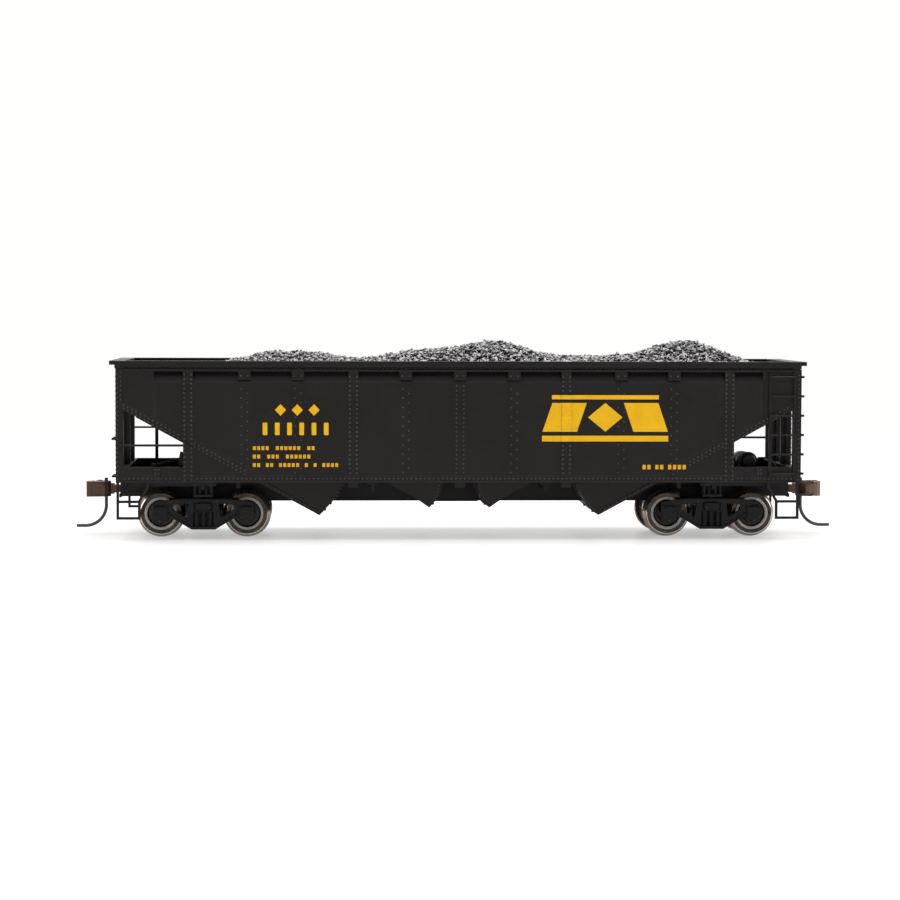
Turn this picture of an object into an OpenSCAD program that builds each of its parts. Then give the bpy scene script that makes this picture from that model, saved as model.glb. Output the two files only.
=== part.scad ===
// Four-pocket open hopper car, model railway scale 1:87.
// All sizes are millimetres. +X is along the car towards the brake (B) end, +Y is
// across it, +Z is up. The origin is on the centre line under the middle of the car,
// level with the lowest point of the wheel flanges. The near side is -Y, the A end is -X.

/* [Body] */
// Length of the body over the end sills
body_len = 154.2; // [152:0.2:156]
// Overhang of the top chord past each end
chord_over = 1.4; // [0.8:0.1:2]
// Width across the outer faces of the side sheets
sheet_w = 36.2; // [36:0.1:36.6]
// Height of the top chord above the flange bottoms
rim_z = 40.3; // [39.8:0.1:42]
// Height of the underside of the side sill
sill_z = 13.0; // [12.9:0.1:13]
// Depth of the side sill
sill_h = 1.6; // [1.2:0.1:2]
// Thickness of the side sheets
sheet_t = 1.0; // [0.8:0.1:1.1]
// Height of the slope sheet where it meets the end sheet
slope_top = 29.8; // [29:0.1:30.5]
// Spacing of the side posts
post_pitch = 12.2; // [12:0.1:12.3]

/* [Hopper] */
// Distance from mid-car to the tip of the outer pockets
outer_tip_x = 31.6; // [31:0.1:32]
// Height of the tip of the outer pockets
outer_tip_z = 5.5; // [5.2:0.1:5.8]
// Distance from mid-car to the tip of the inner pockets
inner_tip_x = 6.8; // [6.6:0.1:7]
// Height of the tip of the inner pockets
inner_tip_z = 7.2; // [7.2:0.1:7.4]
// Half width over the pocket side sheets
pocket_hw = 16.0; // [15:0.1:16.4]
// Thickness of the slope sheets
slope_t = 0.8; // [0.6:0.1:1]

/* [Running gear] */
// Distance from mid-car to each truck centre
truck_x = 57.8; // [57:0.1:58.4]
// Truck wheelbase
wheelbase = 19.5; // [19:0.1:19.8]
// Tread diameter of the wheels
tread_d = 9.6; // [9.2:0.1:9.8]
// Flange diameter of the wheels
flange_d = 10.9; // [10.7:0.1:11]
// Distance between the backs of a pair of wheels
back_to_back = 14.5; // [14.3:0.1:14.7]
// Width of a wheel over the tread and flange
wheel_w = 2.8; // [2.2:0.1:2.9]
// Diameter of the axles
axle_d = 2.0; // [1.6:0.1:2.2]
// Length of an axle over its points
axle_len = 25.3; // [25:0.1:25.4]
// Running gap on the kingpin, coupler pivot and knuckle pin, on the radius
run_gap = 0.06; // [0.02:0.01:0.1]

/* [Couplers] */
// Height of the coupler centre line
coupler_z = 10.5; // [10.4:0.1:10.6]
// Distance from mid-car to the coupler pivot
pivot_x = 71.4; // [71:0.1:71.8]
// Diameter of the coupler pivot post
pivot_d = 2.2; // [2:0.1:2.4]
// Height of the coupler head
head_h = 3.5; // [3.3:0.1:3.6]
// Diameter of the trip pin wire
trip_d = 0.78; // [0.6:0.02:0.9]

/* [Fittings] */
// Diameter of ladder rungs and grab irons
rung_d = 0.46; // [0.4:0.02:0.6]
// Spacing of the ladder rungs
rung_pitch = 4.38; // [4.2:0.02:4.4]
// Width of the stirrup step bars
step_bar = 0.58; // [0.4:0.02:0.7]

/* [Load] */
// Height of the highest coal mound above the rim
mound_h = 4.5; // [2:0.1:6]

/* [Hidden] */
$fn = 48;

half_len = body_len / 2;          // end sill face
side_y = sheet_w / 2;             // outer face of the side sheet
inner_y = side_y - sheet_t;       // inner face of the side sheet
chord_y = side_y + 0.2;           // outer face of the chord
end_sheet_x = half_len - 0.9;     // outer face of the end sheet
wheel_z = flange_d / 2;           // axle height
plate_z = sill_z + 3.5;           // top of the end sill and of the deeper side plate
deck_z = sill_z + 0.8;            // top of the end platforms
sill_bot = 7.8;                   // underside of the centre sill

post_w = 2.2;
end_post_x = 5 * post_pitch;      // last full post, beside the open end
mid_post_x = 2 * post_pitch - 0.4;
plate_x = end_post_x + post_w / 2;  // where the side sill gives way to the deeper plate
corner_w = 1.7;                   // width of the corner posts

// Undersides of the slope sheets: the outer one runs from the end sheet down to the
// outer pocket tip, the inner one has the same slope and starts at its foot [x, z].
slope_tan = (slope_top - outer_tip_z) / (end_sheet_x - outer_tip_x);
slope_dz = slope_t / cos(atan(slope_tan));  // vertical thickness
inner_foot = [10.1, 9.5];
function outer_slope_z(x) = outer_tip_z + (x - outer_tip_x) * slope_tan;
function outer_slope_x(z) = outer_tip_x + (z - outer_tip_z) / slope_tan;
function inner_slope_z(x) = inner_foot[1] + (x - inner_foot[0]) * slope_tan;
function inner_slope_x(z) = inner_foot[0] + (z - inner_foot[1]) / slope_tan;
outer_sill_x = outer_slope_x(sill_z);  // where each underside crosses sill height
inner_sill_x = inner_slope_x(sill_z);

// Door lines of the +X half, [x, z] of tip, knee and hinge
outer_hinge_x = 26.5;
outer_door_pts = [
  [outer_tip_x, outer_tip_z], [outer_tip_x - 3.5, 9.3], [outer_hinge_x, sill_z]
];
inner_door_pts = [[inner_tip_x, inner_tip_z], [inner_tip_x - 2.1, 9.5], [4.0, sill_z]];

black = [0.15, 0.15, 0.16];
iron = [0.22, 0.22, 0.23];
bright = [0.72, 0.70, 0.66];
bronze = [0.45, 0.28, 0.20];
coal_black = [0.08, 0.08, 0.09];

// ---------- helpers
module block(x0, x1, y0, y1, z0, z1)
  translate([x0, y0, z0]) cube([x1 - x0, y1 - y0, z1 - z0]);

// polygon in X and Z, standing between two Y planes
module prism_xz(points, y0, y1)
  translate([0, y1, 0]) rotate([90, 0, 0]) linear_extrude(y1 - y0) polygon(points);

// polygon in Y and Z, running between two X planes
module prism_yz(points, x0, x1)
  translate([x0, 0, 0]) rotate([90, 0, 90]) linear_extrude(x1 - x0) polygon(points);

module both_x() {
  children();
  mirror([1, 0, 0]) children();
}

module both_y() {
  children();
  mirror([0, 1, 0]) children();
}

module four_ways() both_x() both_y() children();

// half turn about the vertical, which takes the B end to the A end
module turned() rotate([0, 0, 180]) children();

module rod(start, end, d) {
  span = end - start;
  length = norm(span);
  translate(start)
    rotate([0, acos(span[2] / length), atan2(span[1], span[0])])
      cylinder(d = d, h = length, $fn = 24);
}

// ---------- body moulding
lean_end = 8.6;  // the lean of the side sheets stops this far from the end sill face

// cross section of one side with its top chord, flush all the way up, [y, z]
side_profile = [
  [inner_y, sill_z], [side_y, sill_z], [side_y, rim_z - 2.3], [chord_y, rim_z - 2.3],
  [chord_y, rim_z - 1.9], [side_y - 0.4, rim_z - 1.9], [side_y - 0.4, rim_z - 1.3],
  [chord_y, rim_z - 1.3], [chord_y, rim_z], [inner_y - 1.2, rim_z],
  [inner_y - 1.2, rim_z - 2.4], [inner_y, rim_z - 5.1]
];
// the sheet leans in under the chord; this is what the lean takes away, [y, z]
lean_cut = [
  [side_y + 0.1, rim_z - 4.9], [side_y, rim_z - 4.9],
  [side_y - 1.2, rim_z - 2.3], [side_y + 0.1, rim_z - 2.3]
];
// opening under the slope sheet, between the last post and the corner, [x, z]
open_triangle = [
  [plate_x, plate_z], [plate_x, outer_slope_z(plate_x)],
  [half_len - corner_w, outer_slope_z(half_len - corner_w)], [half_len - corner_w, plate_z]
];

module side_sheets() both_y() difference() {
  prism_yz(side_profile, -half_len, half_len);
  prism_yz(lean_cut, -half_len + lean_end, half_len - lean_end);
  both_x() prism_xz(open_triangle, inner_y - 1, side_y + 1);
}

// post strip, with a deeper head that bridges the lean under the chord
module post(x, z0) {
  proud_y = side_y + 0.16;
  block(x - post_w / 2, x + post_w / 2, side_y - 0.05, proud_y, z0, rim_z - 4.3);
  block(x - post_w / 2, x + post_w / 2, side_y - 1.25, proud_y - 0.02,
        rim_z - 4.5, rim_z - 2.25);
}

// short filler in the lean, in line with a post station
module tab(x)
  block(x - 1.4, x + 1.4, side_y - 1.25, side_y + 0.1, rim_z - 4.2, rim_z - 2.25);

// cleat under the side sill
module cleat(x)
  block(x - 1.1, x + 1.1, side_y - 0.9, side_y + 0.1, sill_z - 1.1, sill_z + 0.05);

module side_posts() {
  four_ways() {
    post(end_post_x, sill_z);
    post(mid_post_x, sill_z + sill_h);
    for (x = [post_pitch, 3 * post_pitch - 0.2, 4 * post_pitch - 0.4]) tab(x);
    cleat(mid_post_x);
  }
  both_y() {
    tab(0);
    cleat(0);
  }
}

// side sill, then the deeper plate beside the open end
module side_sills() four_ways() {
  block(0, plate_x, side_y - 0.05, side_y + 0.22, sill_z, sill_z + sill_h);
  block(0, plate_x, side_y + 0.1, side_y + 0.34, sill_z, sill_z + 0.28);
  block(plate_x, half_len, side_y - 0.05, side_y + 0.1, sill_z, plate_z);
  block(plate_x, half_len - corner_w, side_y - 0.3, side_y + 0.3, plate_z - 0.3, plate_z);
  block(plate_x, half_len, side_y, side_y + 0.3, sill_z, sill_z + 0.3);
  block(half_len - 9.9, half_len - 8.5, side_y - 0.05, side_y + 0.28, sill_z, plate_z);
}

module side_end_details() four_ways() {
  // rounded vertical bend where the lean ends
  bend_x = half_len - 8.7;
  translate([bend_x, side_y - 0.32, outer_slope_z(bend_x) + 0.1])
    cylinder(r = 0.5, h = rim_z - 4.6 - outer_slope_z(bend_x));
  // strip along the slope sheet's edge, carried on down across the side
  prism_xz([
    [end_post_x - 14.3, sill_z + sill_h], [end_sheet_x, outer_slope_z(end_sheet_x)],
    [end_sheet_x, outer_slope_z(end_sheet_x) + 1.5], [end_post_x - 17.1, sill_z + sill_h]
  ], side_y - 0.05, side_y + 0.1);
  // corner post with its outer angle
  block(half_len - corner_w, half_len, inner_y, side_y, sill_z, slope_top + 2);
  block(half_len - 1.5, half_len, side_y - 0.05, side_y + 0.14, sill_z, rim_z - 2.25);
}

// ledges the load sits on, each with a thin web below
module load_ledges() four_ways() for (x = [8, 44, 70]) {
  block(x - 2, x + 2, inner_y - 2.5, inner_y - 0.2, rim_z - 5.6, rim_z - 4.1);
  block(x - 0.4, x + 0.4, inner_y - 2.2, inner_y + 0.1, rim_z - 8, rim_z - 5.5);
}

module body_ends() {
  // end posts between the corners, and the webs behind them
  four_ways() {
    block(half_len - 1.3, half_len, 5.8, 7.2, sill_z, rim_z - 1.5);
    block(half_len - 2.4, half_len - 1.2, 6.2, 6.8,
          sill_z + 0.9, outer_slope_z(half_len - 2.4) + 0.3);
  }
  both_x() {
    // end sheet, its chord and the overhanging lip
    block(end_sheet_x - 1, end_sheet_x, -inner_y - 0.1, inner_y + 0.1,
          slope_top - 0.2, rim_z);
    block(end_sheet_x - 1, half_len + 0.2, -chord_y, chord_y, rim_z - 1.7, rim_z);
    block(end_sheet_x - 1, half_len + chord_over, -chord_y, chord_y, rim_z - 0.9, rim_z);
    block(half_len - 1.2, half_len, -side_y, side_y, rim_z - 2.6, rim_z - 1.6);
    // flange where slope sheet and end sheet meet, and a rib above it
    block(half_len - 1.0, half_len - 0.1, -inner_y, inner_y,
          slope_top - 0.3, slope_top + 0.8);
    block(half_len - 1.0, half_len - 0.3, -inner_y, inner_y,
          slope_top + 4.4, slope_top + 5.2);
    // end sill and its inward flange
    block(half_len - 1.6, half_len, -side_y, side_y, sill_z, plate_z);
    block(half_len - 2.4, half_len - 1.5, -inner_y - 0.1, inner_y + 0.1,
          plate_z - 0.5, plate_z);
  }
}

// sheet across the body that reaches just into both side sheets
module cross_sheet(points) prism_xz(points, -inner_y - 0.1, inner_y + 0.1);

module slope_sheets() both_x() {
  // long outer slope
  cross_sheet([
    [outer_sill_x, sill_z], [end_sheet_x, slope_top],
    [end_sheet_x, slope_top + slope_dz], [outer_slope_x(sill_z - slope_dz), sill_z]
  ]);
  // ridge between the pockets: its slope and its upright side
  ridge_z = inner_slope_z(outer_hinge_x);
  cross_sheet([
    [inner_sill_x, sill_z], [outer_hinge_x, ridge_z],
    [outer_hinge_x, ridge_z + slope_dz], [inner_slope_x(sill_z - slope_dz), sill_z]
  ]);
  cross_sheet([
    [outer_hinge_x, sill_z], [outer_hinge_x + 0.8, sill_z],
    [outer_hinge_x + 0.8, ridge_z + 0.4], [outer_hinge_x, ridge_z + slope_dz]
  ]);
  // half of the low ridge at mid-car
  cross_sheet([[0, sill_z + 3.6], [3.99, sill_z], [4.9, sill_z], [0, sill_z + 4.6]]);
  // ribs under the outer slope
  rib_x0 = outer_sill_x + 3;
  rib_x1 = end_sheet_x - 3;
  for (y = [-9, 9])
    prism_xz([
      [rib_x0, sill_z + 1.7], [rib_x1, outer_slope_z(rib_x1) + 0.1],
      [rib_x1, outer_slope_z(rib_x1) - 0.9], [rib_x0, sill_z + 0.7]
    ], y - 0.35, y + 0.35);
}

module body_shell() color(black) {
  side_sheets();
  side_posts();
  side_sills();
  side_end_details();
  load_ledges();
  body_ends();
  slope_sheets();
  // floor flange that ties the side sheets to the pockets
  both_y() block(-outer_sill_x - 1, outer_sill_x + 1, pocket_hw - 0.7, inner_y + 0.1,
                 sill_z, sill_z + 0.8);
}

// ---------- underframe moulding
sill_hw = 2.5;       // half width of the centre sill
pad_l = 10;          // resting pad in its middle
pad_w = 4;
box_x0 = 67.9;       // back of the draft box
box_x1 = 77.2;       // mouth of the draft box
box_hw = 3.5;
cavity_z0 = coupler_z - 1.0;
cavity_z1 = coupler_z + 1.0;
screw_hole_d = 1.2;  // lid screw hole in the pivot post
kingpin_d = 1.98;    // shank of the kingpin screw

module end_platform() {
  block(end_post_x - 5.6, half_len - 1.6, -inner_y, inner_y, sill_z, deck_z);
  both_y() block(end_post_x - 6.2, half_len - 2.6, inner_y - 1.5, inner_y - 0.9,
                 sill_z - 0.9, sill_z + 0.1);
}

// body bolster, about the truck centre
module body_bolster() {
  prism_yz([
    [-inner_y, sill_z + 0.1], [-inner_y, 11.6], [-11, 10.2], [-2, 9.4],
    [2, 9.4], [11, 10.2], [inner_y, 11.6], [inner_y, sill_z + 0.1]
  ], -0.45, 0.45);
  block(-2.3, 2.3, -inner_y, inner_y, 12.4, sill_z + 0.1);
  // ribbed pad on each side
  both_y() {
    block(-2.2, 2.2, 11.6, 14.6, 9.55, 10.1);
    for (x = [-2.0, -0.9, 0.5, 1.6]) block(x, x + 0.4, 11.8, 14.4, 9.6, 12.6);
    block(-2.2, 2.2, 12.7, 13.1, 9.6, 12.6);
  }
  translate([0, 0, sill_bot]) cylinder(r = 3.2, h = 1);
}

module cross_bearers() {
  bearer_x = outer_sill_x + 4.5;
  bearer_y = pocket_hw - 0.2;
  block(bearer_x - 0.4, bearer_x + 0.4, -inner_y + 1, inner_y - 1, 11.6, sill_z + 0.1);
  block(19.2, 20.0, -bearer_y, bearer_y, 10.9, sill_z - 0.2);
  block(18.4, 20.8, -bearer_y, bearer_y, sill_z - 0.6, sill_z - 0.2);
}

// pivot posts hang in the draft boxes and take the lid screws
module pivot_posts() color(black)
  both_x() translate([pivot_x, 0, cavity_z0 + 0.02]) difference() {
    cylinder(d = pivot_d, h = cavity_z1 - cavity_z0);
    translate([0, 0, -1]) cylinder(d = screw_hole_d, h = 4);
  }

module underframe() {
  color(black) difference() {
    union() {
      // centre sill, with its bottom flange between the trucks
      block(-box_x0 - 0.5, box_x0 + 0.5, -sill_hw, sill_hw, sill_bot, sill_z - 0.2);
      block(-50, 50, -sill_hw - 0.1, sill_hw + 0.1, sill_bot, sill_bot + 0.4);
      // flat pad in the middle, where a display stand carries the car
      block(-pad_l / 2, pad_l / 2, -pad_w / 2, pad_w / 2, sill_bot - 0.2, sill_bot + 0.1);
      both_x() {
        // draft box housing and its back wall
        block(box_x0, box_x1, -box_hw, box_hw, cavity_z0, sill_z);
        block(box_x0 - 1.4, box_x0 + 0.2, -box_hw, box_hw, sill_bot + 0.6, sill_z);
        end_platform();
        translate([truck_x, 0, 0]) body_bolster();
        cross_bearers();
      }
    }
    // channel for the ballast bar, open at the top
    block(-47, 47, -1.85, 1.85, sill_bot + 0.7, sill_z + 1);
    both_x() {
      // draft box cavity, open at the front and closed below by the lid
      block(box_x0 + 0.7, box_x1 + 1, -box_hw + 0.75, box_hw - 0.75,
            cavity_z0 - 2, cavity_z1);
      // kingpin and lid screw holes
      translate([truck_x, 0, sill_bot - 1]) cylinder(d = 2.0, h = 4.4);
      translate([pivot_x, 0, cavity_z0 - 1]) cylinder(d = screw_hole_d, h = 4.4);
    }
  }
  pivot_posts();
}

// B end lid, with a lip at the mouth and a boss round the screw
module draft_box_lid() color(black) difference() {
  union() {
    block(box_x0 + 0.56, box_x1 + 0.25, -box_hw, box_hw, cavity_z0 - 0.6, cavity_z0);
    block(box_x1 - 0.2, box_x1 + 0.25, -box_hw - 0.25, box_hw + 0.25,
          cavity_z0 - 0.85, cavity_z0 - 0.05);
    translate([pivot_x, 0, cavity_z0 - 0.9]) cylinder(d = 3.4, h = 0.5);
  }
  translate([pivot_x, 0, cavity_z0 - 2]) cylinder(d = 1.3, h = 4);
}

// screw standing on its chamfered, cross-slotted cap
module screw(x, z, cap_d, cap_h, shank_d, shank_l) color(bright)
  translate([x, 0, z]) difference() {
    chamfer = 0.25;
    union() {
      cylinder(d1 = cap_d - 0.5, d2 = cap_d, h = chamfer);
      translate([0, 0, chamfer]) cylinder(d = cap_d, h = cap_h - chamfer);
      translate([0, 0, cap_h - 0.1]) cylinder(d = shank_d, h = shank_l + 0.1);
    }
    for (turn = [0, 90])
      rotate([0, 0, turn + 20])
        translate([-cap_d * 0.36, -0.16, -1]) cube([cap_d * 0.72, 0.32, 1.45]);
  }

module draft_box_screws() both_x()
  screw(x = pivot_x, z = cavity_z0 - 1.6,
        cap_d = 2.3, cap_h = 0.7, shank_d = 1.18, shank_l = 3.4);

module kingpin_screws() both_x()
  screw(x = truck_x, z = 3.9, cap_d = 3.3, cap_h = 0.9, shank_d = kingpin_d, shank_l = 5.6);

// thin leaf that lies round the coupler shank and brings it back to centre
module centering_spring() color([0.62, 0.48, 0.30]) {
  outer_r = 2.45;
  inner_r = 2.3;
  z0 = cavity_z0 + 0.5;
  leaf_h = 0.9;
  difference() {
    translate([pivot_x, 0, z0]) cylinder(r = outer_r, h = leaf_h);
    translate([pivot_x, 0, cavity_z0]) cylinder(r = inner_r, h = 2);
    block(pivot_x, pivot_x + 5, -3, 3, cavity_z0, cavity_z1);
  }
  both_y() block(pivot_x - 0.05, pivot_x + 4.4, inner_r, outer_r, z0, z0 + leaf_h);
}

// ---------- hopper pockets
pocket_in_y = pocket_hw - 0.7;  // inner face of the pocket side sheets
web_y0 = 2.62;                  // sheets beside the centre sill
web_y1 = 3.1;

// the two pockets of the +X half
module pocket_half() {
  outer_tip = outer_door_pts[0];
  outer_knee = outer_door_pts[1];
  inner_tip = inner_door_pts[0];
  inner_knee = inner_door_pts[1];
  hinges = [outer_door_pts[2], inner_door_pts[2]];
  both_y() {
    // side sheets
    prism_xz(concat([[outer_sill_x, sill_z]], outer_door_pts), pocket_in_y, pocket_hw);
    prism_xz(concat([[inner_sill_x, sill_z], inner_foot], inner_door_pts),
             pocket_in_y, pocket_hw);
    // sheets beside the centre sill
    prism_xz([
      [outer_slope_x(sill_z - 0.2), sill_z - 0.2], [outer_slope_x(sill_bot), sill_bot],
      outer_tip + [0.6, 0.6], outer_knee, [outer_hinge_x + 0.1, sill_z - 0.2]
    ], web_y0, web_y1);
    prism_xz([
      [inner_slope_x(sill_z - 0.2), sill_z - 0.2], inner_foot,
      inner_tip + [0.3, 0.2], inner_knee, [4.1, sill_z - 0.2]
    ], web_y0, web_y1);
    // slope sheets
    prism_xz([
      outer_tip, [outer_sill_x, sill_z], [outer_slope_x(sill_z - slope_dz), sill_z],
      [outer_slope_x(outer_tip_z + 0.5) - 0.7, outer_tip_z + 0.95]
    ], web_y1, pocket_in_y);
    prism_xz([
      inner_tip, inner_foot, [inner_sill_x, sill_z],
      [inner_slope_x(sill_z - slope_dz), sill_z], [9.7, 10.15], inner_tip + [-0.1, 0.9]
    ], web_y1, pocket_in_y);
    // outside frame angles
    prism_xz([
      outer_tip, outer_tip + [0.75, 0.42], [outer_sill_x, sill_z - 0.02],
      [outer_sill_x - 1.7, sill_z - 0.02], outer_tip + [-0.2, 0.9]
    ], pocket_hw - 0.02, pocket_hw + 0.16);
    prism_xz([inner_tip, inner_tip + [0.6, 0.5], inner_tip + [0, 1.0]],
             pocket_hw - 0.02, pocket_hw + 0.16);
    // hinge ears, and the bar that ties them to the side sheets
    for (hinge = hinges) {
      for (y = [4.6, pocket_hw - 2.2])
        block(hinge[0] - 0.65, hinge[0] - 0.15, y, y + 0.6, hinge[1] - 1.2, sill_z);
      block(hinge[0] - 0.65, hinge[0] + 0.5, web_y0, pocket_hw - 0.6,
            sill_z - 0.22, sill_z);
    }
  }
  // bar across the centre sill at each hinge
  for (hinge = hinges)
    block(hinge[0] - 0.65, hinge[0] + 0.5, -2.7, 2.7, sill_z - 0.16, sill_z);
}

module hopper_pockets() color(black) both_x() pocket_half();

// a door: two leaves, one each side of the centre sill, and the bar that ties them
module door(points, bar_z, bar_h) color(black) {
  tip = points[0];
  knee = points[1];
  hinge = points[2];
  gap = 0.06;
  leaf_t = 0.6;
  both_y() {
    difference() {
      union() {
        prism_xz([
          tip + [-0.15, 0.05], knee, hinge + [0, -0.3], hinge + [leaf_t, -0.3],
          knee + [leaf_t + 0.1, 0.1], tip + [0.35, 0.55]
        ], web_y1 + gap, pocket_in_y - gap);
        // stiffening ribs across the leaf, at fractions of the way from knee to tip
        for (t = [0.25, 0.62])
          let (foot = tip * (1 - t) + knee * t)
            prism_xz([
              foot + [-0.42, -0.12], foot + [0.1, 0.1],
              foot + [-0.2, 0.5], foot + [-0.7, 0.25]
            ], 4.2, pocket_hw - 1.6);
        // ribs from tip to hinge
        for (y = [5.9, pocket_hw - 3.4])
          prism_xz([
            tip + [-0.35, 0.1], knee + [-0.3, 0], hinge + [-0.28, -0.4],
            hinge + [0.2, -0.4], knee + [0.2, 0.1], tip + [0.1, 0.3]
          ], y, y + 0.5);
      }
      // room for the end of the slope sheet
      prism_xz([
        tip + [-0.08, -0.4], tip + [3, -0.4],
        tip + [3, slope_dz + 2.7], tip + [-0.2, slope_dz + 0.12]
      ], 3, pocket_hw - 0.6);
    }
    // lock lug at the tip
    block(tip[0] - 0.9, tip[0] - 0.1, 8.6, 9.8, tip[1] + 0.15, tip[1] + 0.75);
  }
  block(tip[0] - 0.8, tip[0] - 0.16, -4.2, 4.2, bar_z, bar_z + bar_h);
}

module outer_door() door(outer_door_pts, bar_z = outer_tip_z + 0.35, bar_h = 0.7);
module inner_door() door(inner_door_pts, bar_z = inner_tip_z + 0.05, bar_h = 0.45);

module ballast_bar() color([0.5, 0.5, 0.52])
  block(-46.4, 46.4, -1.75, 1.75, sill_bot + 0.75, sill_z - 0.55);

// ---------- ladders, rails and steps
rung_z = [for (k = [0:5]) 15.0 + k * rung_pitch];
end_rung_out = 0.72;  // end rungs and grab irons stand this far off the end sill face

// near side of the B end; stiles are notched over the lip of the side plate
module side_ladder() color(black) {
  stile_x = [half_len - 6.85, half_len - 1.25];
  rung_y = -side_y - 0.92;
  difference() {
    for (x = stile_x)
      block(x - 0.38, x + 0.38, -side_y - 0.54, -side_y - 0.16, sill_z + 1.1, rim_z - 2.5);
    block(half_len - 8, half_len, -side_y - 0.33, -side_y, plate_z - 0.4, plate_z + 0.1);
  }
  for (z = rung_z) {
    rod([half_len - 7.1, rung_y, z], [half_len - 1.0, rung_y, z], rung_d);
    for (x = stile_x)
      block(x - 0.3, x + 0.3, -side_y - 1.16, -side_y - 0.45, z - 0.27, z + 0.27);
  }
}

// near side of the B end
module end_ladder() color(black) {
  stile_y = [-side_y + 0.5, -side_y + 5.4];
  rung_x = half_len + end_rung_out;
  for (y = stile_y)
    block(half_len, half_len + 0.3, y - 0.35, y + 0.35, sill_z + 0.9, rim_z - 1.8);
  for (z = rung_z) {
    rod([rung_x, -side_y + 0.3, z], [rung_x, -side_y + 5.6, z], rung_d);
    for (y = stile_y)
      block(half_len + 0.2, half_len + 0.96, y - 0.28, y + 0.28, z - 0.26, z + 0.26);
  }
}

// one long rail across the open triangle, near side of the A end
module side_rail() color(black) {
  y = -side_y - 0.55;
  z = 21.4;
  rod([-half_len + 0.7, y, z], [-end_post_x + 0.3, y, z], rung_d + 0.06);
  for (x = [-half_len + 0.9, -end_post_x - 0.1])
    block(x - 0.3, x + 0.3, -side_y - 0.82, -side_y - 0.16, z - 0.3, z + 0.3);
}

// near side of the A end
module end_grab_irons() color(black) for (z = [22.8, 14.4]) {
  x = -half_len - end_rung_out;
  rod([x, -side_y + 0.7, z], [x, -side_y + 5.7, z], rung_d);
  for (y = [-side_y + 0.9, -side_y + 5.5])
    block(-half_len - 0.96, -half_len, y - 0.28, y + 0.28, z - 0.26, z + 0.26);
}

// two-step stirrup, B end near side
module stirrup() color(black) {
  y0 = -side_y + 0.1;
  y1 = -side_y + 0.7;
  outer_x = half_len - 0.1;
  inner_x = half_len - 5.5;
  step_z = 4.7;
  block(outer_x - step_bar, outer_x, y0, y1, step_z, sill_z);
  for (z = [step_z, 8.4]) block(inner_x, outer_x, y0, y1, z, z + step_bar);
  // cranked inboard leg
  prism_xz([
    [inner_x, step_z], [inner_x + step_bar, step_z], [inner_x + step_bar, 8.9],
    [half_len - 6.8, 12.2], [half_len - 6.8, sill_z],
    [half_len - 7.4, sill_z], [half_len - 7.4, 12.0], [inner_x, 8.7]
  ], y0, y1);
}

// ---------- brake gear on the end platforms
cylinder_x = half_len - 10.6;
cylinder_z = 17.5;

// lies across the B end platform on two feet
module brake_cylinder() color(black) {
  translate([cylinder_x, -11.6, cylinder_z]) rotate([-90, 0, 0]) {
    cylinder(r = 1.9, h = 5.2);
    translate([0, 0, -0.45]) cylinder(r1 = 1.35, r2 = 1.75, h = 0.46);
    translate([0, 0, 0.35]) cylinder(r = 2.1, h = 0.4);
    translate([0, 0, 5.1]) cylinder(r1 = 1.9, r2 = 0.8, h = 1.1);
    translate([0, 0, 6.1]) cylinder(r = 0.35, h = 2.4);
  }
  for (y = [-10.6, -7.6])
    block(cylinder_x - 1.4, cylinder_x + 1.4, y - 0.35, y + 0.35,
          deck_z, cylinder_z - 0.6);
}

// lies across the B end platform, on the far side
module air_reservoir() color(black) {
  x = half_len - 8.9;
  z = 16.6;
  translate([x, 3.2, z]) rotate([-90, 0, 0]) {
    cylinder(r = 2.0, h = 8.0);
    translate([0, 0, -0.7]) cylinder(r1 = 1.2, r2 = 1.9, h = 0.72);
    translate([0, 0, 7.98]) cylinder(r1 = 1.9, r2 = 1.2, h = 0.72);
    translate([0, 0, 3.8]) cylinder(r = 2.15, h = 0.4);
  }
  for (y = [4.6, 9.6]) block(x - 1.4, x + 1.4, y - 0.35, y + 0.35, deck_z, z - 0.7);
}

module triple_valve() color(black) translate([half_len - 14.1, -9.4, 0]) {
  block(-0.9, 0.9, -1.3, 1.3, deck_z, 16.2);
  block(-0.6, 0.6, -1.6, 1.6, 15.2, 17.4);
  translate([0, -0.6, 17.3]) cylinder(r = 0.75, h = 1.1);
  translate([-1.25, 0.9, 16.1]) rotate([0, 90, 0]) cylinder(r = 0.8, h = 2.5);
  block(-1.2, -0.5, -1.9, -1.0, 14.4, 15.4);
}

module brake_rods() color(black) {
  // pipe from the valve, and its foot
  rod([half_len - 12.7, -9.4, 14.4], [half_len - 4.2, -9.4, 14.4], 0.4);
  block(half_len - 4.7, half_len - 3.8, -9.9, -8.9, deck_z, sill_z + 1.7);
  // bent rod from the cylinder's side down to a foot
  bend = [half_len - 5.6, -10.9, 18.2];
  rod([half_len - 8.35, -10.9, 18.2], bend, 0.42);
  rod(bend, [half_len - 3.0, -10.9, sill_z + 1.1], 0.42);
  block(half_len - 3.9, half_len - 2.7, -11.3, -10.5, deck_z, sill_z + 1.7);
  // push rod of the cylinder and its upright live lever
  rod([cylinder_x, -3.05, cylinder_z], [cylinder_x, 1.2, cylinder_z], 0.5);
  block(cylinder_x - 0.5, cylinder_x + 0.5, 0.7, 1.7, deck_z, 18.0);
}

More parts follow.
